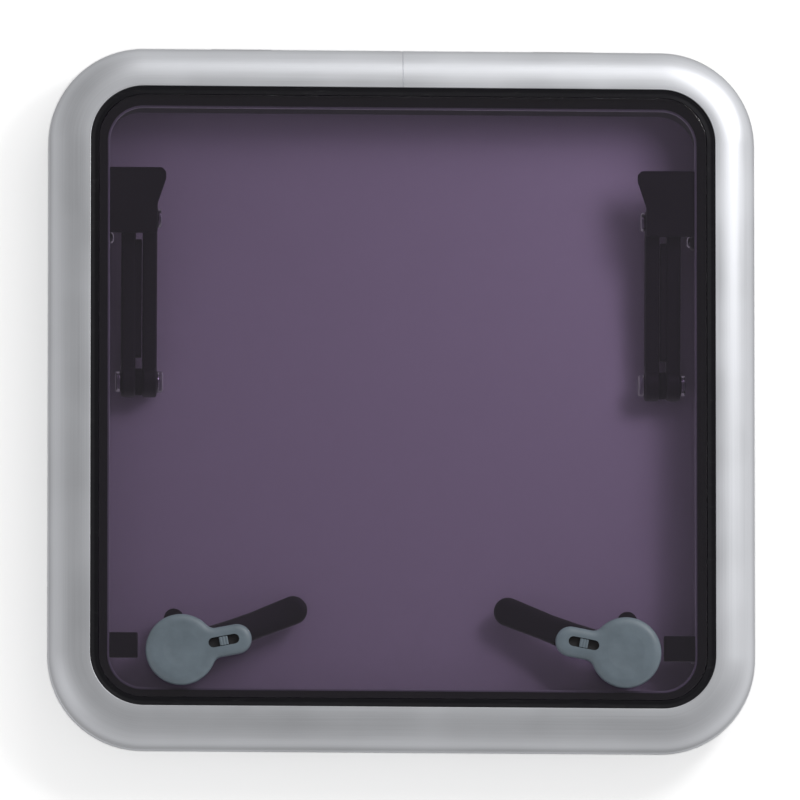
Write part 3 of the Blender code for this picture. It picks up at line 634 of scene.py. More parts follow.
def make_seals(settings):
    """The black joint round the lens, whose top sags between its edges, and the lid's bulb seal.

    The joint's top dips by a quarter of a cosine's swing between the lens and the frame.
    """
    joint_in, joint_out = LENS_HALF + GAP, LIP_HALF - GAP
    share = np.linspace(0, 1, 9)
    dip = LENS_TOP - 0.35 - 0.45 * (1 - np.cos(2 * math.pi * share))
    top = np.stack([joint_out + (joint_in - joint_out) * share, dip], 1)
    bed_low, bed_high = LEDGE_TOP + GAP, LENS_BOTTOM - GAP
    section = path(
        (LEDGE_IN + 1.5, bed_low), (joint_out, bed_low), top, (joint_in, bed_high),
        (LEDGE_IN + 1.5, bed_high),
    )
    finished("lens_sealant", [hatch_ring(section)], FINISHES["sealant"])

    middle = (UPSTAND_IN + UPSTAND_OUT) / 2
    outline = (
        (3.5, 38.1), (3.5, 35.4), (1.9, UPSTAND_TOP + GAP), (-1.9, UPSTAND_TOP + GAP),
        (-3.5, 35.4), (-3.5, 38.1), (-1.3, 38.5), (-1.3, 40.7), (-3.2, 41.0), (-1.8, 42.6),
        (1.8, 42.6), (3.2, 41.0), (1.3, 40.7), (1.3, 38.5),
    )
    radii = (0.5, 1.2, 1.0, 1.0, 1.2, 0.5, 0.3, 0.3, 0.4, 0.6, 0.6, 0.4, 0.3, 0.3)
    bulb = filleted(outline, radii, 4) + (middle, 0)
    finished("lid_seal", [hatch_ring(bulb)], FINISHES["seal"])


# ------------------------------------------------------------------ hinges

def make_hinges(settings):
    """Two hidden hinges: a leaf with two knuckles on the base, an arm in the lid, and a pin."""
    leaf_low = FLANGE_TOP + GAP
    for name, side in SIDES.items():
        middle = side * HINGE_X
        pin_place = (middle, HINGE_Y, HINGE_Z)
        pin_hole = round_tool(2.3, -24, 24, pin_place, "X", 32)
        knuckle = arc((HINGE_Y, HINGE_Z), KNUCKLE_RADIUS, -60, 180, 28)
        leaf = filleted(path(
            (UPSTAND_OUT + 3, leaf_low), (HINGE_Y + 0.5, leaf_low), knuckle,
            (HINGE_Y - KNUCKLE_RADIUS, leaf_low + 2), (UPSTAND_OUT + 3, leaf_low + 2),
        ), (0.4, 0, *[0] * len(knuckle), 0.8, 0.6))
        clear = CENTRE_KNUCKLE_HALF + GAP
        front, rear = HINGE_Y - KNUCKLE_RADIUS - 0.8, HINGE_Y + 8
        gap = [(middle - clear, front), (middle + clear, front), (middle + clear, rear),
               (middle - clear, rear)]
        window = plate(filleted(gap, 0.6), leaf_low - 3, HINGE_Z + 8, 0.05, "Z", 1)
        finished(
            f"hinge_base_leaf_{name}",
            [plate(leaf, middle - HINGE_HALF, middle + HINGE_HALF, 0.4, "X", 3)],
            FINISHES["fitting_aluminium"], cut=[[window], [pin_hole]],
        )
        barrel = arc((HINGE_Y, HINGE_Z), KNUCKLE_RADIUS, 160, 410, 28)
        lid_arm = filleted(path(
            (233.6, 40.0), (240.2, 36.4), barrel, (245.3, 36.2), crown(2.5, (75, 60, 45, 28)),
        ), (0.8, 1.5, *[0] * len(barrel), 0.3, 0.5, 0.5, 0.5, 0.4))
        finished(
            f"hinge_lid_arm_{name}",
            [plate(lid_arm, middle - CENTRE_KNUCKLE_HALF, middle + CENTRE_KNUCKLE_HALF, 0.4, "X", 3)],
            FINISHES["fitting_aluminium"], cut=[[pin_hole]],
        )
        pin = shaft([(2.0, -20.4, 20.4)], 0.5)
        finished(f"hinge_pin_{name}", [turned(pin, pin_place, "X", 32)], FINISHES["steel"])


# ------------------------------------------------------------------ stays

def stay_point(along, up=0.0):
    """(y, z) measured forwards from the hinge axis, down the stays' slight slope."""
    slope_y, slope_z = math.cos(STAY_DROP), math.sin(STAY_DROP)
    return HINGE_Y - along * slope_y - up * slope_z, HINGE_Z - along * slope_z + up * slope_y


def on_stay(points):
    """An outline of (along, up) points turned onto the stays' slope, as (y, z)."""
    y, z = stay_point(points[:, 0], points[:, 1])
    return np.stack([y, z], 1)


def screw(name, place, axis, way, seat, length, rise, finish):
    """A cap screw with a domed head and a hexagon socket.

    The profile runs from the tip along the shank, out round the head, and down into the socket.
    """
    at = lambda distance: seat - way * distance
    profile = (
        (0, at(-length)), (1.3, at(-length)), (2.0, at(-length + 0.9)), (2.0, at(0)), (3.8, at(0)),
        (4.0, at(rise * 0.2)), (3.8, at(rise * 0.62)), (3.1, at(rise * 0.9)), (2.2, at(rise)),
        (1.45, at(rise)), (1.3, at(rise * 0.92), 1.0), (1.3, at(rise * 0.25), 1.0),
        (0, at(rise * 0.05)),
    )
    finished(name, [turned(profile, place, axis, 48)], finish, sharp=50)


def make_stays(settings):
    """Two folding stays: brackets on base and lid, and two ribbed arms joined at a friction elbow."""
    pivot_y, pivot_z = stay_point(LINK)
    elbow_y, elbow_z = stay_point(2 * LINK)
    pivot, elbow = (0, pivot_y, pivot_z), (0, elbow_y, elbow_z)
    hole = STAY_PIVOT_RADIUS + GAP
    black, steel = FINISHES["black"], FINISHES["steel"]
    for name, side in SIDES.items():
        back, face = side * BRACKET_BACK_X, side * BRACKET_FACE_X
        head = arc((pivot_y, pivot_z), 9, 0, 180, 24)
        outline = filleted(path(
            (pivot_y - 18, 5), (pivot_y + 18, 5), (pivot_y + 18, 17), head, (pivot_y - 18, 17),
        ), (3.5, 3.5, 3.5, 2.0, *[0] * (len(head) - 2), 2.0, 3.5))
        boss = shaft([(9, side * (LOWER_ARM_X[1] + 0.8), side * (BRACKET_FACE_X + 1))], 0.6)
        screws = [round_tool(SCREW_HOLE, side * 200, side * 216, place, "X", 24)
                  for place in bracket_screw_places()]
        finished(
            f"stay_base_bracket_{name}", [plate(outline, face, back, 0.9, "X")], black,
            add=[[turned(boss, pivot, "X", 48)]],
            cut=[[round_tool(hole, side * 190, side * 214, pivot, "X")], screws],
        )
        for number, place in enumerate(bracket_screw_places(), 1):
            screw(f"stay_base_screw_{name}_{number}", place, "X", side,
                  side * (BRACKET_FACE_X - GAP), 6.8, 2.4, steel)
        pin = shaft([(
            STAY_PIVOT_RADIUS, side * (LOWER_ARM_X[0] + GAP), side * (BRACKET_BACK_X - GAP))], 0.5)
        finished(f"stay_base_pin_{name}", [turned(pin, pivot, "X")], steel)

        (start, end), half = STAY_RIB_ALONG, STAY_RIB_HALF
        rib_plan = on_stay(filleted([(start, -half), (end, -half), (end, half), (start, half)], 2.5))
        rib = plate(rib_plan, side * STAY_RIB_X[0], side * STAY_RIB_X[1], 0.7, "X")
        arms = (("lower", LOWER_ARM_X, [[rib]]), ("upper", UPPER_ARM_X, []))
        for label, (near_x, far_x), ribs in arms:
            make_stay_arm(
                f"stay_{label}_arm_{name}", side * near_x, side * far_x, pivot, elbow, ribs)

        x = lambda value: side * value
        bolt = shaft([(STAY_PIVOT_RADIUS, x(170.0), x(198.3)), (7.2, x(198.3), x(201.6))], 0.7)
        finished(f"stay_elbow_bolt_{name}", [turned(bolt, elbow, "X")], steel)
        disc = softened(((hole, x(183.3)), (9.5, x(183.3)), (9.5, x(187.7)), (hole, x(187.7))), 0.35)
        finished(
            f"stay_friction_disc_{name}", [turned(disc, elbow, "X", 56, True)], FINISHES["friction"])
        nut = (
            (hole, x(168.9)), (hole + 0.3, x(168.6)), (6.3, x(168.6), 1.0), (6.9, x(169.2), 1.0),
            (6.9, x(171.2), 1.0), (7.4, x(171.5)), (7.6, x(172.1)), (7.4, x(172.5)), (hole, x(172.5)),
        )
        finished(f"stay_elbow_nut_{name}", [turned(nut, elbow, "X", 60, True)], steel, sharp=25)
        make_lid_bracket(name, side, pivot, hole)


def make_stay_arm(name, near_x, far_x, pivot, elbow, ribs):
    """A flat arm with rounded edges, pocketed faces and a turned groove at each eye.

    The lower arm's rib stands on its face towards the middle of the hatch, which has no pocket.
    """
    near, far, near_radius, far_radius, waist = LINK, 2 * LINK, 8.0, 11.0, 5.5
    near_angle = math.degrees(math.asin(waist / near_radius))
    far_angle = math.degrees(math.asin(waist / far_radius))
    eye = arc((near, 0), near_radius, near_angle, 360 - near_angle, 40)
    end = arc((far, 0), far_radius, far_angle - 180, 180 - far_angle, 40)
    soft = lambda curve: [3.0, *[0] * (len(curve) - 2), 3.0]
    outline = on_stay(filleted(path(eye, end), [*soft(eye), *soft(end)]))
    long_slot = path(arc((far - 16, 0), 3.1, -90, 90, 10), arc((near + 13, 0), 3.1, 90, 270, 10))
    faces = ((min(near_x, far_x), 1), (max(near_x, far_x), -1))
    pockets = [
        plate(on_stay(long_slot), face - way * 3, face + way * 1.6, 0.5, "X", 3)
        for face, way in faces if not ribs or abs(face) > sum(LOWER_ARM_X) / 2
    ]
    rings = []
    for place, radius in ((pivot, 6.9), (elbow, 8.6)):
        for face, way in faces:
            low, high = face - way * 1.0, face + way * 0.35
            rings.append(turned(
                ((radius, low), (radius, high), (radius - 0.9, high), (radius - 0.9, low)),
                place, "X", 56, True))
    holes = [
        round_tool(STAY_PIVOT_RADIUS + GAP, near_x - 20, near_x + 30, place, "X")
        for place in (pivot, elbow)
    ]
    finished(
        name, [plate(outline, near_x, far_x, 1.7, "X", 5)], FINISHES["black_arm"],
        add=ribs, cut=[pockets, rings, holes], sharp=32)


def make_lid_bracket(name, side, pivot, hole):
    """The bracket under the lens ledge that carries the stay's upper arm, with its screws and pin."""
    black, steel = FINISHES["black"], FINISHES["steel"]
    low, high = LEDGE_BOTTOM - 3.3, LEDGE_BOTTOM - GAP
    plan = np.array([
        (216, 165), (170, 165), (167, 162), (167, 157), (173, 139), (173, 118), (216, 118)]) * (side, 1)
    pivot_y, pivot_z = pivot[1:]
    ear = filleted(path(
        arc((pivot_y, pivot_z), 8, 180, 360, 28), (pivot_y + 8, 34.6), (pivot_y - 8, 34.6)), 0.0)
    screw_places = lid_screw_places(side)
    finished(
        f"stay_lid_bracket_{name}", [plate(filleted(plan, (3, 2, 1.5, 2, 4, 2.5, 3)), low, high, 0.8)],
        black, add=[[plate(ear, side * STAY_EAR_X[0], side * STAY_EAR_X[1], 0.6, "X")]],
        cut=[[round_tool(hole, side * 180, side * 191, pivot, "X")],
             [round_tool(SCREW_HOLE, 30, 38, place, sides=24) for place in screw_places]],
    )
    for number, place in enumerate(screw_places, 1):
        screw(f"stay_lid_screw_{name}_{number}", place, "Z", 1, low - GAP, 5.6, 2.0, steel)
    head, start, end = side * 170.0, side * 172.5, side * 187.2
    pin = shaft([(6.5, head, start), (STAY_PIVOT_RADIUS, start, end)], 0.6)
    finished(f"stay_lid_pin_{name}", [turned(pin, pivot, "X")], steel)


# ------------------------------------------------------------------ handles and latches

def from_spindle(points, side, angle):
    """Plan points measured along and across a direction that turns from inboard to the rear."""
    turn = math.radians(angle)
    inboard = points[..., 0] * math.cos(turn) - points[..., 1] * math.sin(turn)
    rearward = points[..., 0] * math.sin(turn) + points[..., 1] * math.cos(turn)
    return np.stack([side * (SPINDLE_X - inboard), SPINDLE_Y + rearward], -1)


def palm_and_neck(depth, palm=25.0, neck=10.5, fillet=7.0, end_at=40.0):
    """The handle's plan at an inset: palm circle, two hollow fillets and a round-ended neck.

    A fillet's centre is palm + fillet from the spindle and neck + fillet off the neck's line, so it
    stays put as the inset grows while its radius grows by the inset.
    """
    off = neck + fillet
    along = math.sqrt((palm + fillet) ** 2 - off ** 2)
    lean = math.degrees(math.atan2(off, along))
    return path(
        arc((0, 0), palm - depth, lean, 360 - lean, 72),
        arc((along, -off), fillet + depth, 180 - lean, 90, 12)[1:],
        arc((end_at, 0), neck - depth, -90, 90, 28),
        arc((along, off), fillet + depth, -90, -180 + lean, 12)[:-1],
    )


def make_handles(settings):
    """The grey outside handles: a dished round palm, a neck with a recess, and the lock slide."""
    rise = HANDLE_TOP - HANDLE_BOTTOM
    edge = np.linspace(0, math.pi / 2, 5)
    side_turn = np.linspace(0, math.pi / 2, 13)[1:]
    insets = np.concatenate([0.8 * (1 - np.sin(edge)), 6.2 * (1 - np.cos(side_turn)), [8.6]])
    heights = np.concatenate([
        0.8 * (1 - np.cos(edge)), rise - 3.6 + 3.6 * np.sin(side_turn), [rise]])
    floor, half = HANDLE_TOP - 3.8, 3.5
    slot_plan = path(arc((38, 0), half, -90, 90, 12), arc((23, 0), half, 90, 270, 12))
    for name, side in SIDES.items():
        place = (side * SPINDLE_X, SPINDLE_Y, 0)
        loops = np.stack([from_spindle(palm_and_neck(depth), side, NECK_ANGLE) for depth in insets])
        body = sweep(stand(loops, (HANDLE_BOTTOM + heights)[:, None], "Z"), caps=True)
        plan = from_spindle(slot_plan, side, NECK_ANGLE)
        dish_radius, dish_depth = 13.5, settings.dish_depth * 1000
        t = np.linspace(0, 1, 13)
        bowl = [(0, HANDLE_TOP - dish_depth)] + [
            (dish_radius * s, HANDLE_TOP - dish_depth * (1 - s * s)) for s in t[1:]]
        bowl += [(dish_radius, HANDLE_TOP + 3), (0, HANDLE_TOP + 3)]
        socket = round_tool(SPINDLE_RADIUS + GAP, HANDLE_BOTTOM - 3, SPINDLE_TOP + GAP, place)
        finished(
            f"outside_handle_{name}", [body], FINISHES["grey"],
            cut=[[turned(bowl, place, sides=72)], [socket]],
            # the recess walls take the darker black: painted shade in the slot
            lined=[([plate(plan, floor, HANDLE_TOP + 3, 0.4)], FINISHES["recess"])], sharp=32)
        make_lock_slide(name, side, floor, half)


def make_lock_slide(name, side, floor, half):
    """The small ribbed slide in a handle's recess: three ridges rise across its top."""
    width, length = half - GAP - 0.1, 6.0
    along = np.linspace(-length / 2, length / 2, 41)
    ridge = 0.35 * np.abs(np.sin(np.linspace(0, 3 * math.pi, 41)))
    top = np.stack([along, HANDLE_TOP - 0.55 + ridge], 1)
    outline = path((-length / 2, floor + GAP), (length / 2, floor + GAP), top[::-1])
    solid = plate(tidy_outline(outline), -width, width, 0.25, "Y", 2)
    points = solid[0].copy()
    points[:, 0] += 30.5
    plan = from_spindle(points[:, :2], side, NECK_ANGLE)
    points[:, :2] = plan
    finished(f"lock_slide_{name}", [(points, *solid[1:])], FINISHES["grey"], sharp=50)


def lever_solid(side):
    """The lever's grip as rounded sections along a curve from the hub to its lowered tip.

    Widths, undersides and tops are smoothed between stations, each section is a superellipse, and
    five shallow finger grooves run across the underside near the tip.
    """
    stations = np.array([
        # distance from the spindle, half-width, lowest and highest point
        (2, 12.5, 18.5, 33.5), (22, 11.6, 18.0, 32.0), (40, 10.2, 15.6, 27.0),
        (58, 9.6, 12.4, 22.4), (76, 10.0, 9.8, 18.6), (88, 10.2, 8.6, 16.6),
    ])
    tip_turn = np.linspace(0, math.pi / 2, 14)[1:]
    along = np.concatenate([np.linspace(2, 88, 80), 88 + 10 * np.sin(tip_turn)])
    kernel = np.hanning(13)
    kernel /= kernel.sum()
    rows = [np.interp(along, stations[:, 0], stations[:, k]) for k in (1, 2, 3)]
    half, low, high = (
        np.convolve(np.pad(row, 6, mode="edge"), kernel, mode="valid") for row in rows)
    tip = np.sqrt(np.clip(1 - (np.clip(along - 88, 0, None) / 10.0) ** 2, 0, 1))
    half = half * tip
    middle, tall = (low + high) / 2, (high - low) / 2 * (0.25 + 0.75 * tip) * (tip > 1e-6)
    turn = np.linspace(0, 2 * math.pi, 48, endpoint=False)
    shape = lambda wave: np.sign(wave) * np.abs(wave) ** 0.72
    wide, deep = shape(np.cos(turn)), shape(np.sin(turn))
    grooves = 0.45 * np.cos((along - 60) * 2 * math.pi / 6.0) * ((along > 58.5) & (along < 88.5))
    lift = grooves[:, None] * np.clip(-deep, 0, 1) ** 2
    flat = np.stack([np.broadcast_to(along[:, None], (len(along), 48)), half[:, None] * wide], 2)
    plan = from_spindle(flat, side, LEVER_ANGLE)
    z = middle[:, None] + tall[:, None] * deep + lift
    return sweep(np.concatenate([plan, z[..., None]], 2), caps=True)


def make_levers(settings):
    """The black inside levers: a round hub with a groove, and a grip that dips away from it."""
    for name, side in SIDES.items():
        place = (side * SPINDLE_X, SPINDLE_Y, 0)
        hub = softened((
            (0, LEVER_BOTTOM), (17.0, LEVER_BOTTOM), (19.0, LEVER_BOTTOM + 2.5), (19.3, 29.0),
            (18.5, 29.6), (18.5, 30.8), (19.4, 31.4), (19.4, LEVER_TOP - 1), (18.6, LEVER_TOP),
            (0, LEVER_TOP)), 0.7)
        finished(
            f"inside_lever_{name}", [turned(hub, place, sides=96)], FINISHES["black"],
            add=[[lever_solid(side)]],
            cut=[[round_tool(SPINDLE_RADIUS + GAP, LEVER_BOTTOM - 4, LEVER_TOP + 4, place)]],
        )


def make_latches(settings):
    """Each latch's bush, nut, spindle, dog and screw, and the keeper its dog turns under."""
    black, steel = FINISHES["black"], FINISHES["steel"]
    fit = SPINDLE_RADIUS + GAP
    for name, side in SIDES.items():
        place = (side * SPINDLE_X, SPINDLE_Y, 0)
        bush = softened((
            (fit, 36.5), (BUSH_RADIUS, 36.5), (BUSH_RADIUS, LENS_TOP + GAP), (21.0, LENS_TOP + GAP),
            (21.0, 51.2), (20.4, HANDLE_BOTTOM - GAP), (fit, HANDLE_BOTTOM - GAP)), 0.3)
        finished(f"lens_bush_{name}", [turned(bush, place, sides=72, bored=True)], black)
        nut = (
            (BUSH_RADIUS + GAP, 37.5), (BUSH_RADIUS + GAP + 0.4, 37.2), (15.4, 37.2, 1.0),
            (15.6, 37.5, 1.0), (15.6, 38.8, 1.0), (17.8, 39.1), (18.0, 39.3), (17.9, 39.7),
            (BUSH_RADIUS + GAP, 39.7),
        )
        finished(f"bush_nut_{name}", [turned(nut, place, sides=72, bored=True)], black, sharp=25)
        spindle = shaft([(2.8, 22.0, DOG_BOTTOM), (SPINDLE_RADIUS, DOG_BOTTOM, SPINDLE_TOP)], 0.4)
        finished(f"spindle_{name}", [turned(spindle, place)], steel)
        bolt = (
            (0, 20.0), (2.0, 20.0), (2.5, 19.3), (2.5, 8.7), (5.8, 8.7), (6.0, 8.5), (6.0, 7.4),
            (5.6, 6.3), (4.6, 5.7), (3.0, 5.6), (2.4, 5.6), (2.2, 5.8, 1.0), (2.2, 7.6, 1.0),
            (0, 8.0),
        )
        finished(f"handle_screw_{name}", [turned(bolt, place)], steel, sharp=50)

        finger, hub = 7.0, 12.5
        lean = math.degrees(math.asin(finger / hub))
        round_hub = arc((0, 0), hub, lean, 360 - lean, 48)
        nose = arc((DOG_REACH - finger, 0), finger, -90, 90, 20)
        plan = filleted(path(round_hub, nose), [4.0, *[0] * (len(round_hub) - 2), 4.0, *[0] * len(nose)])
        plan = from_spindle(plan, side, DOG_ANGLE)
        finished(
            f"latch_dog_{name}", [plate(plan, DOG_BOTTOM, DOG_TOP, 0.9)], black,
            cut=[[round_tool(fit, DOG_BOTTOM - 3, DOG_TOP + 3, place)]],
        )
        catch = np.array([
            (BRACKET_BACK_X, 4.0), (BRACKET_BACK_X, 20.4), (KEEPER_REACH_X, 20.4),
            (KEEPER_REACH_X, 16.3), (BRACKET_FACE_X, 16.3), (BRACKET_FACE_X, 4.0)]) * (side, 1)
        screw_place = (0, KEEPER_Y, KEEPER_SCREW_Z)
        finished(
            f"keeper_{name}",
            [plate(filleted(catch, (0.6, 1.2, 1.6, 1.4, 1.6, 0.8)), KEEPER_Y - KEEPER_HALF,
                   KEEPER_Y + KEEPER_HALF, 0.8, "Y")],
            black, cut=[[round_tool(SCREW_HOLE, side * 200, side * 216, screw_place, "X", 24)]],
        )
        screw(f"keeper_screw_{name}", screw_place, "X", side, side * (BRACKET_FACE_X - GAP), 6.8,
              2.4, steel)


# ------------------------------------------------------------------ stage

def softbox(name, place, size, power, only=None):
    """An area light aimed at the hatch, unseen by cameras; it may light one collection only."""
    light = bpy.data.lights.new(name, "AREA")
    light.shape, light.size, light.size_y = "RECTANGLE", size[0], size[1]
    light.energy = power
    made = bpy.data.objects.new(name, light)
    made.location = place
    made.rotation_euler = (-Vector(place)).to_track_quat("-Z", "Y").to_euler()
    made.visible_camera = False
    if only:
        made.light_linking.receiver_collection = only
    bpy.context.scene.collection.objects.link(made)
    return made


def make_sky(settings):
    """A pale studio sky: dimmer overhead, and brightest low down behind the hatch and to its right.

    Brightness is the overhead value plus (1 - height up or down) times (front value + bright value *
    lean to the bright side), less the dark value times the eighth power of the lean to the dark side.
    A lean is the dot product of the two directions, clamped at zero.
    """
    world = bpy.data.worlds.new("pale_sky")
    world.use_nodes = True
    sky = world.node_tree
    way = node(sky, "ShaderNodeTexCoord").outputs["Generated"]
    height = node(sky, "ShaderNodeSeparateXYZ", {0: way}).outputs[2]
    slope = node(sky, "ShaderNodeMath", {0: height}, operation="ABSOLUTE").outputs[0]
    low = spread(sky, slope, 1.0, 0.0, 0.0, 1.0)
    bright, dark = (
        spread(sky, node(sky, "ShaderNodeVectorMath", {0: way, 1: Vector(side).normalized()},
                         operation="DOT_PRODUCT").outputs["Value"], 0.0, 1.0, 0.0, 1.0)
        for side in (settings.bright_side, settings.dark_side))
    dark = node(sky, "ShaderNodeMath", {0: dark, 1: 8.0}, operation="POWER").outputs[0]
    glow = total(sky, settings.sky_front, bright, settings.sky_bright)
    level = total(sky, settings.sky_top, low, glow)
    level = total(sky, level, dark, -settings.sky_dark)
    tone = node(sky, "ShaderNodeVectorMath", {0: settings.sky_colour, 3: level}, operation="SCALE")
    sky.links.new(tone.outputs[0], sky.nodes["Background"].inputs["Color"])
    bpy.context.scene.world = world


def make_camera():
    """A long lens almost straight above, leaning a little to the front and to the left."""
    camera = bpy.data.objects.new("camera", bpy.data.cameras.new("camera"))
    bpy.context.scene.collection.objects.link(camera)
    camera.data.lens, camera.data.sensor_width = 1200.0, 36.0
    target, view_width = Vector((-0.0023, -0.0024, 0.050)), 0.5648
    to_left, to_front = math.radians(3.0), math.radians(8.5)
    back = Vector((-math.tan(to_left), -math.tan(to_front), 1.0)).normalized()
    across = Vector((0, 1, 0)).cross(back).normalized()
    turn = Matrix((across, back.cross(across), back)).transposed()
    distance = view_width * camera.data.lens / camera.data.sensor_width
    camera.matrix_world = Matrix.Translation(target + back * distance) @ turn.to_4x4()
    camera.data.clip_start, camera.data.clip_end = 0.5, 100.0
    bpy.context.scene.camera = camera


def make_floor(settings):
    """A plain pale floor as two sheets that meet under the base frame, each in its own collection.

    The aluminium mirrors the sky and not the floor, so its outer edge stands out from the floor.
    """
    made, tree, shader = start_finish("pale_floor")
    wire(tree, shader, Base_Color=(*settings.floor_colour, 1.0), Roughness=0.9, Specular_IOR_Level=0.1)
    square = np.array([(-1, -1), (1, -1), (1, 1), (-1, 1)])
    under_spigot_wall = 211.5 * MM
    inner, outer = (np.pad(square * half, ((0, 0), (0, 1))) for half in (under_spigot_wall, 6.0))
    ring = [(k, (k + 1) % 4, (k + 1) % 4 + 4, k + 4) for k in range(4)]
    lit = {}
    for name, points, faces in (
        ("floor_inside", inner, [(0, 1, 2, 3)]), ("floor", np.concatenate([outer, inner]), ring)):
        mesh = bpy.data.meshes.new(name)
        mesh.from_pydata(points, [], faces)
        mesh.materials.append(made)
        sheet = link(name, mesh)
        sheet.visible_glossy = False
        lit[name] = bpy.data.collections.new(name)
        lit[name].objects.link(sheet)
    return lit


def make_stage(settings):
    """A plain pale floor, soft lights, a pale sky and the camera.

    The backdrop wash lights only the floor round the hatch, and the two inside lights only the floor
    within it. Colours are shown as they are, so the floor reads as plain white.
    """
    lit = make_floor(settings)
    softbox("key_softbox", settings.key_place, (settings.key_size,) * 2, settings.key_power)
    softbox("rear_strip", (0.75, 1.6, 1.65), (1.7, 0.35), settings.strip_power)
    softbox("left_fill", (-1.6, -0.6, 0.9), (1.2, 0.9), settings.fill_power)
    softbox("backdrop_wash", (-0.63, -1.78, 11.9), (0.6, 0.6), settings.wash_power, lit["floor"])
    softbox("inside_key", (0.42, 0.3, 0.38), (0.25, 0.25), settings.inside_power, lit["floor_inside"])
    softbox("inside_top", (0.0, 0.0, 1.1), (2.6, 2.6), settings.inside_power * 2, lit["floor_inside"])
    make_sky(settings)
    make_camera()
    bpy.context.scene.view_settings.view_transform = "Standard"


# ------------------------------------------------------------------ settings, operators and panel

def colour_setting(name, description, default):
    """A colour property."""
    return bpy.props.FloatVectorProperty(
        name=name, description=description, default=default, size=3, min=0.0, max=1.0, subtype="COLOR")


def length_setting(name, description, default, high):
    """A length property in metres."""
    return bpy.props.FloatProperty(
        name=name, description=description, default=default, min=0.0, max=high, precision=5,
        unit="LENGTH")


def level_setting(name, description, default):
    """A brightness or share."""
    return bpy.props.FloatProperty(
        name=name, description=description, default=default, min=0.0, max=20.0)


def power_setting(name, description, default):
    """A lamp's power."""
    return bpy.props.FloatProperty(
        name=name, description=description, default=default, min=0.0, max=2000.0, unit="POWER")


class HatchShape(bpy.types.PropertyGroup):
    """Sizes of the hatch's finer features."""
    joint_width: length_setting("Joint width", "Width of the lid frame's butt joint", 0.0009, 0.003)
    joint_depth: length_setting("Joint depth", "Depth of the lid frame's butt joint", 0.0004, 0.001)
    lens_edge: length_setting("Lens edge", "Radius of the lens's upper edge", 0.0009, 0.002)
    dish_depth: length_setting("Dish depth", "Depth of the dish in a handle's palm", 0.0007, 0.002)


class HatchFinish(bpy.types.PropertyGroup):
    """Colours and finishes of the hatch."""
    aluminium: colour_setting("Aluminium", "Anodised aluminium's tone", (0.66, 0.67, 0.7))
    aluminium_roughness: bpy.props.FloatProperty(
        name="Aluminium roughness", description="How satin the anodising is", default=0.46, min=0.0,
        max=1.0)
    steel: colour_setting("Steel", "Stainless fastenings' tone", (0.55, 0.55, 0.56))
    lens_tint: colour_setting(
        "Lens tint", "Share of light each face of the lens lets by", (0.561, 0.514, 0.594))
    lens_haze: colour_setting("Lens haze", "Tone of the lens's faint haze", (0.010, 0.008, 0.012))
    lens_ior: bpy.props.FloatProperty(
        name="Lens shine", description="Index that sets how much the lens mirrors", default=1.8,
        min=1.0, max=3.0)
    rubber: colour_setting("Rubber", "Sealant and seal", (0.005, 0.0045, 0.007))
    handle_grey: colour_setting("Handle grey", "Outside handles' moulding", (0.135, 0.172, 0.203))
    fitting_black: colour_setting("Fitting black", "Levers, brackets and keepers", (0.016, 0.014, 0.018))


class HatchStage(bpy.types.PropertyGroup):
    """The floor and lights."""
    floor_colour: colour_setting("Floor", "The plain floor's colour", (0.92, 0.92, 0.92))
    key_power: power_setting("Key light", "Power of the main softbox", 7.2)
    inside_power: power_setting("Inside light", "Power of the light on the floor within", 2.0)
    key_size: length_setting("Key size", "Width of the main softbox", 0.4, 4.0)
    key_place: bpy.props.FloatVectorProperty(
        name="Key place", description="Where the main softbox stands", default=(1.01, 0.76, 1.14),
        size=3, subtype="TRANSLATION")
    strip_power: power_setting("Strip light", "Power of the long strip behind the hatch", 9.6)
    fill_power: power_setting("Fill light", "Power of the low soft light on the left", 1.7)
    wash_power: power_setting("Backdrop light", "Power of the light on the floor alone", 700.0)
    sky_colour: colour_setting("Sky", "Tone of the sky", (1.0, 1.0, 1.0))
    sky_top: level_setting("Sky overhead", "Brightness straight above", 0.34)
    sky_front: level_setting("Sky low down", "Brightness added towards the horizon", 0.4)
    sky_bright: level_setting("Sky's bright side", "Brightness added on the bright side", 0.36)
    sky_dark: level_setting("Sky's dark side", "Brightness taken away on the dark side", 0.22)
    bright_side: bpy.props.FloatVectorProperty(
        name="Bright side", description="Direction of the sky's bright side", default=(0.8, 0.3, 0.1),
        size=3, subtype="DIRECTION")
    dark_side: bpy.props.FloatVectorProperty(
        name="Dark side", description="Direction of the sky's dark side", default=(-0.55, 0.65, 0.35),
        size=3, subtype="DIRECTION")


class HatchOperator:
    """What every operator of the hatch shares."""
    bl_options = {"REGISTER", "UNDO"}


class HATCH_OT_finishes(HatchOperator, bpy.types.Operator):
    """Make the hatch's materials"""
    bl_idname, bl_label = "hatch.finishes", "Finishes"

    def execute(self, context):
        make_finishes(context.scene.hatch_finish)
        return {"FINISHED"}


class HATCH_OT_base_frame(HatchOperator, bpy.types.Operator):
    """Build the flanged base frame"""
    bl_idname, bl_label = "hatch.base_frame", "Base frame"

    def execute(self, context):
        make_base_frame(context.scene.hatch_shape)
        return {"FINISHED"}


class HATCH_OT_lid_frame(HatchOperator, bpy.types.Operator):
    """Build the crowned lid frame and its splice"""
    bl_idname, bl_label = "hatch.lid_frame", "Lid frame"

    def execute(self, context):
        make_lid_frame(context.scene.hatch_shape)
        return {"FINISHED"}


class HATCH_OT_lens(HatchOperator, bpy.types.Operator):
    """Build the smoked lens"""
    bl_idname, bl_label = "hatch.lens", "Lens"

    def execute(self, context):
        make_lens(context.scene.hatch_shape)
        return {"FINISHED"}


class HATCH_OT_seals(HatchOperator, bpy.types.Operator):
    """Build the lens sealant and the lid seal"""
    bl_idname, bl_label = "hatch.seals", "Seals"

    def execute(self, context):
        make_seals(context.scene.hatch_shape)
        return {"FINISHED"}


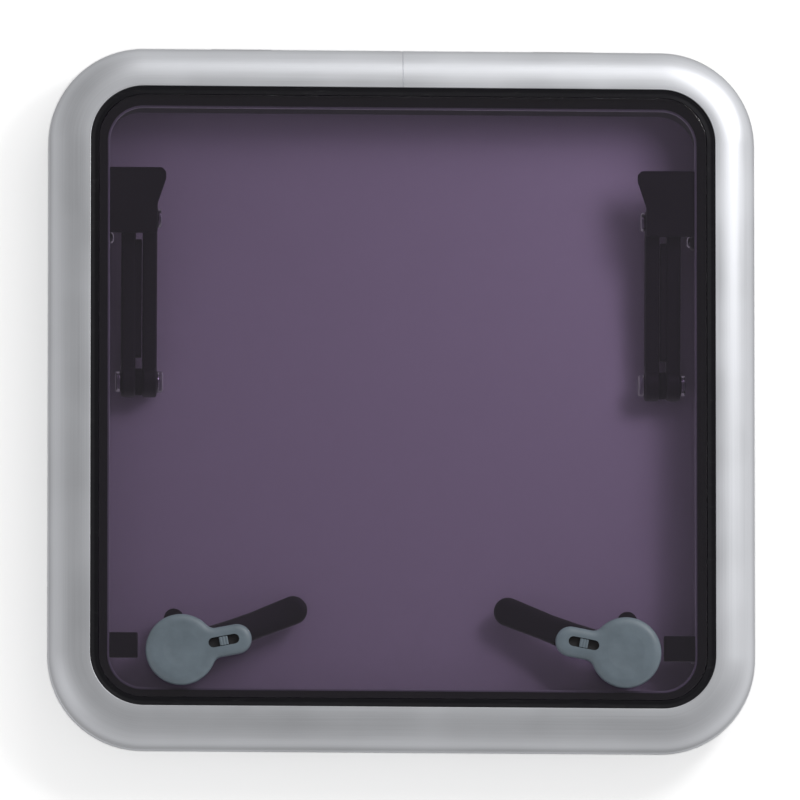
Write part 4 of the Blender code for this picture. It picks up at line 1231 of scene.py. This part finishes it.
class HATCH_OT_hinges(HatchOperator, bpy.types.Operator):
    """Build the two hidden hinges"""
    bl_idname, bl_label = "hatch.hinges", "Hinges"

    def execute(self, context):
        make_hinges(context.scene.hatch_shape)
        return {"FINISHED"}


class HATCH_OT_stays(HatchOperator, bpy.types.Operator):
    """Build the two folding stays"""
    bl_idname, bl_label = "hatch.stays", "Stays"

    def execute(self, context):
        make_stays(context.scene.hatch_shape)
        return {"FINISHED"}


class HATCH_OT_handles(HatchOperator, bpy.types.Operator):
    """Build the outside handles and their lock slides"""
    bl_idname, bl_label = "hatch.handles", "Outside handles"

    def execute(self, context):
        make_handles(context.scene.hatch_shape)
        return {"FINISHED"}


class HATCH_OT_levers(HatchOperator, bpy.types.Operator):
    """Build the inside levers"""
    bl_idname, bl_label = "hatch.levers", "Inside levers"

    def execute(self, context):
        make_levers(context.scene.hatch_shape)
        return {"FINISHED"}


class HATCH_OT_latches(HatchOperator, bpy.types.Operator):
    """Build the bushes, spindles, latch dogs and keepers"""
    bl_idname, bl_label = "hatch.latches", "Latches"

    def execute(self, context):
        make_latches(context.scene.hatch_shape)
        return {"FINISHED"}


class HATCH_OT_stage(HatchOperator, bpy.types.Operator):
    """Set out the floor, lights, sky and camera"""
    bl_idname, bl_label = "hatch.stage", "Stage"

    def execute(self, context):
        make_stage(context.scene.hatch_stage)
        return {"FINISHED"}


OPERATORS = (
    HATCH_OT_finishes, HATCH_OT_base_frame, HATCH_OT_lid_frame, HATCH_OT_lens, HATCH_OT_seals,
    HATCH_OT_hinges, HATCH_OT_stays, HATCH_OT_handles, HATCH_OT_levers, HATCH_OT_latches,
    HATCH_OT_stage,
)
SETTINGS = {"hatch_shape": HatchShape, "hatch_finish": HatchFinish, "hatch_stage": HatchStage}


class HATCH_PT_panel(bpy.types.Panel):
    """The hatch's pieces and settings"""
    bl_idname, bl_label = "HATCH_PT_panel", "Deck hatch"
    bl_space_type, bl_region_type, bl_category = "VIEW_3D", "UI", "Hatch"

    def draw(self, context):
        layout = self.layout
        for operator in OPERATORS:
            layout.operator(operator.bl_idname)
        for name, group in SETTINGS.items():
            column = layout.column()
            for key in group.__annotations__:
                column.prop(getattr(context.scene, name), key)


def register():
    for cls in (*SETTINGS.values(), *OPERATORS, HATCH_PT_panel):
        bpy.utils.register_class(cls)
    for name, group in SETTINGS.items():
        setattr(bpy.types.Scene, name, bpy.props.PointerProperty(type=group))


def unregister():
    for name in SETTINGS:
        delattr(bpy.types.Scene, name)
    for cls in (HATCH_PT_panel, *reversed(OPERATORS), *SETTINGS.values()):
        bpy.utils.unregister_class(cls)


def main():
    """Register the add-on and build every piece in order."""
    for old in [o for o in bpy.data.objects if o.type in ("LIGHT", "CAMERA") or o.name == "Cube"]:
        bpy.data.objects.remove(old)
    register()
    for operator in OPERATORS:
        group, name = operator.bl_idname.split(".")
        getattr(getattr(bpy.ops, group), name)()


if __name__ == "__main__":
    main()
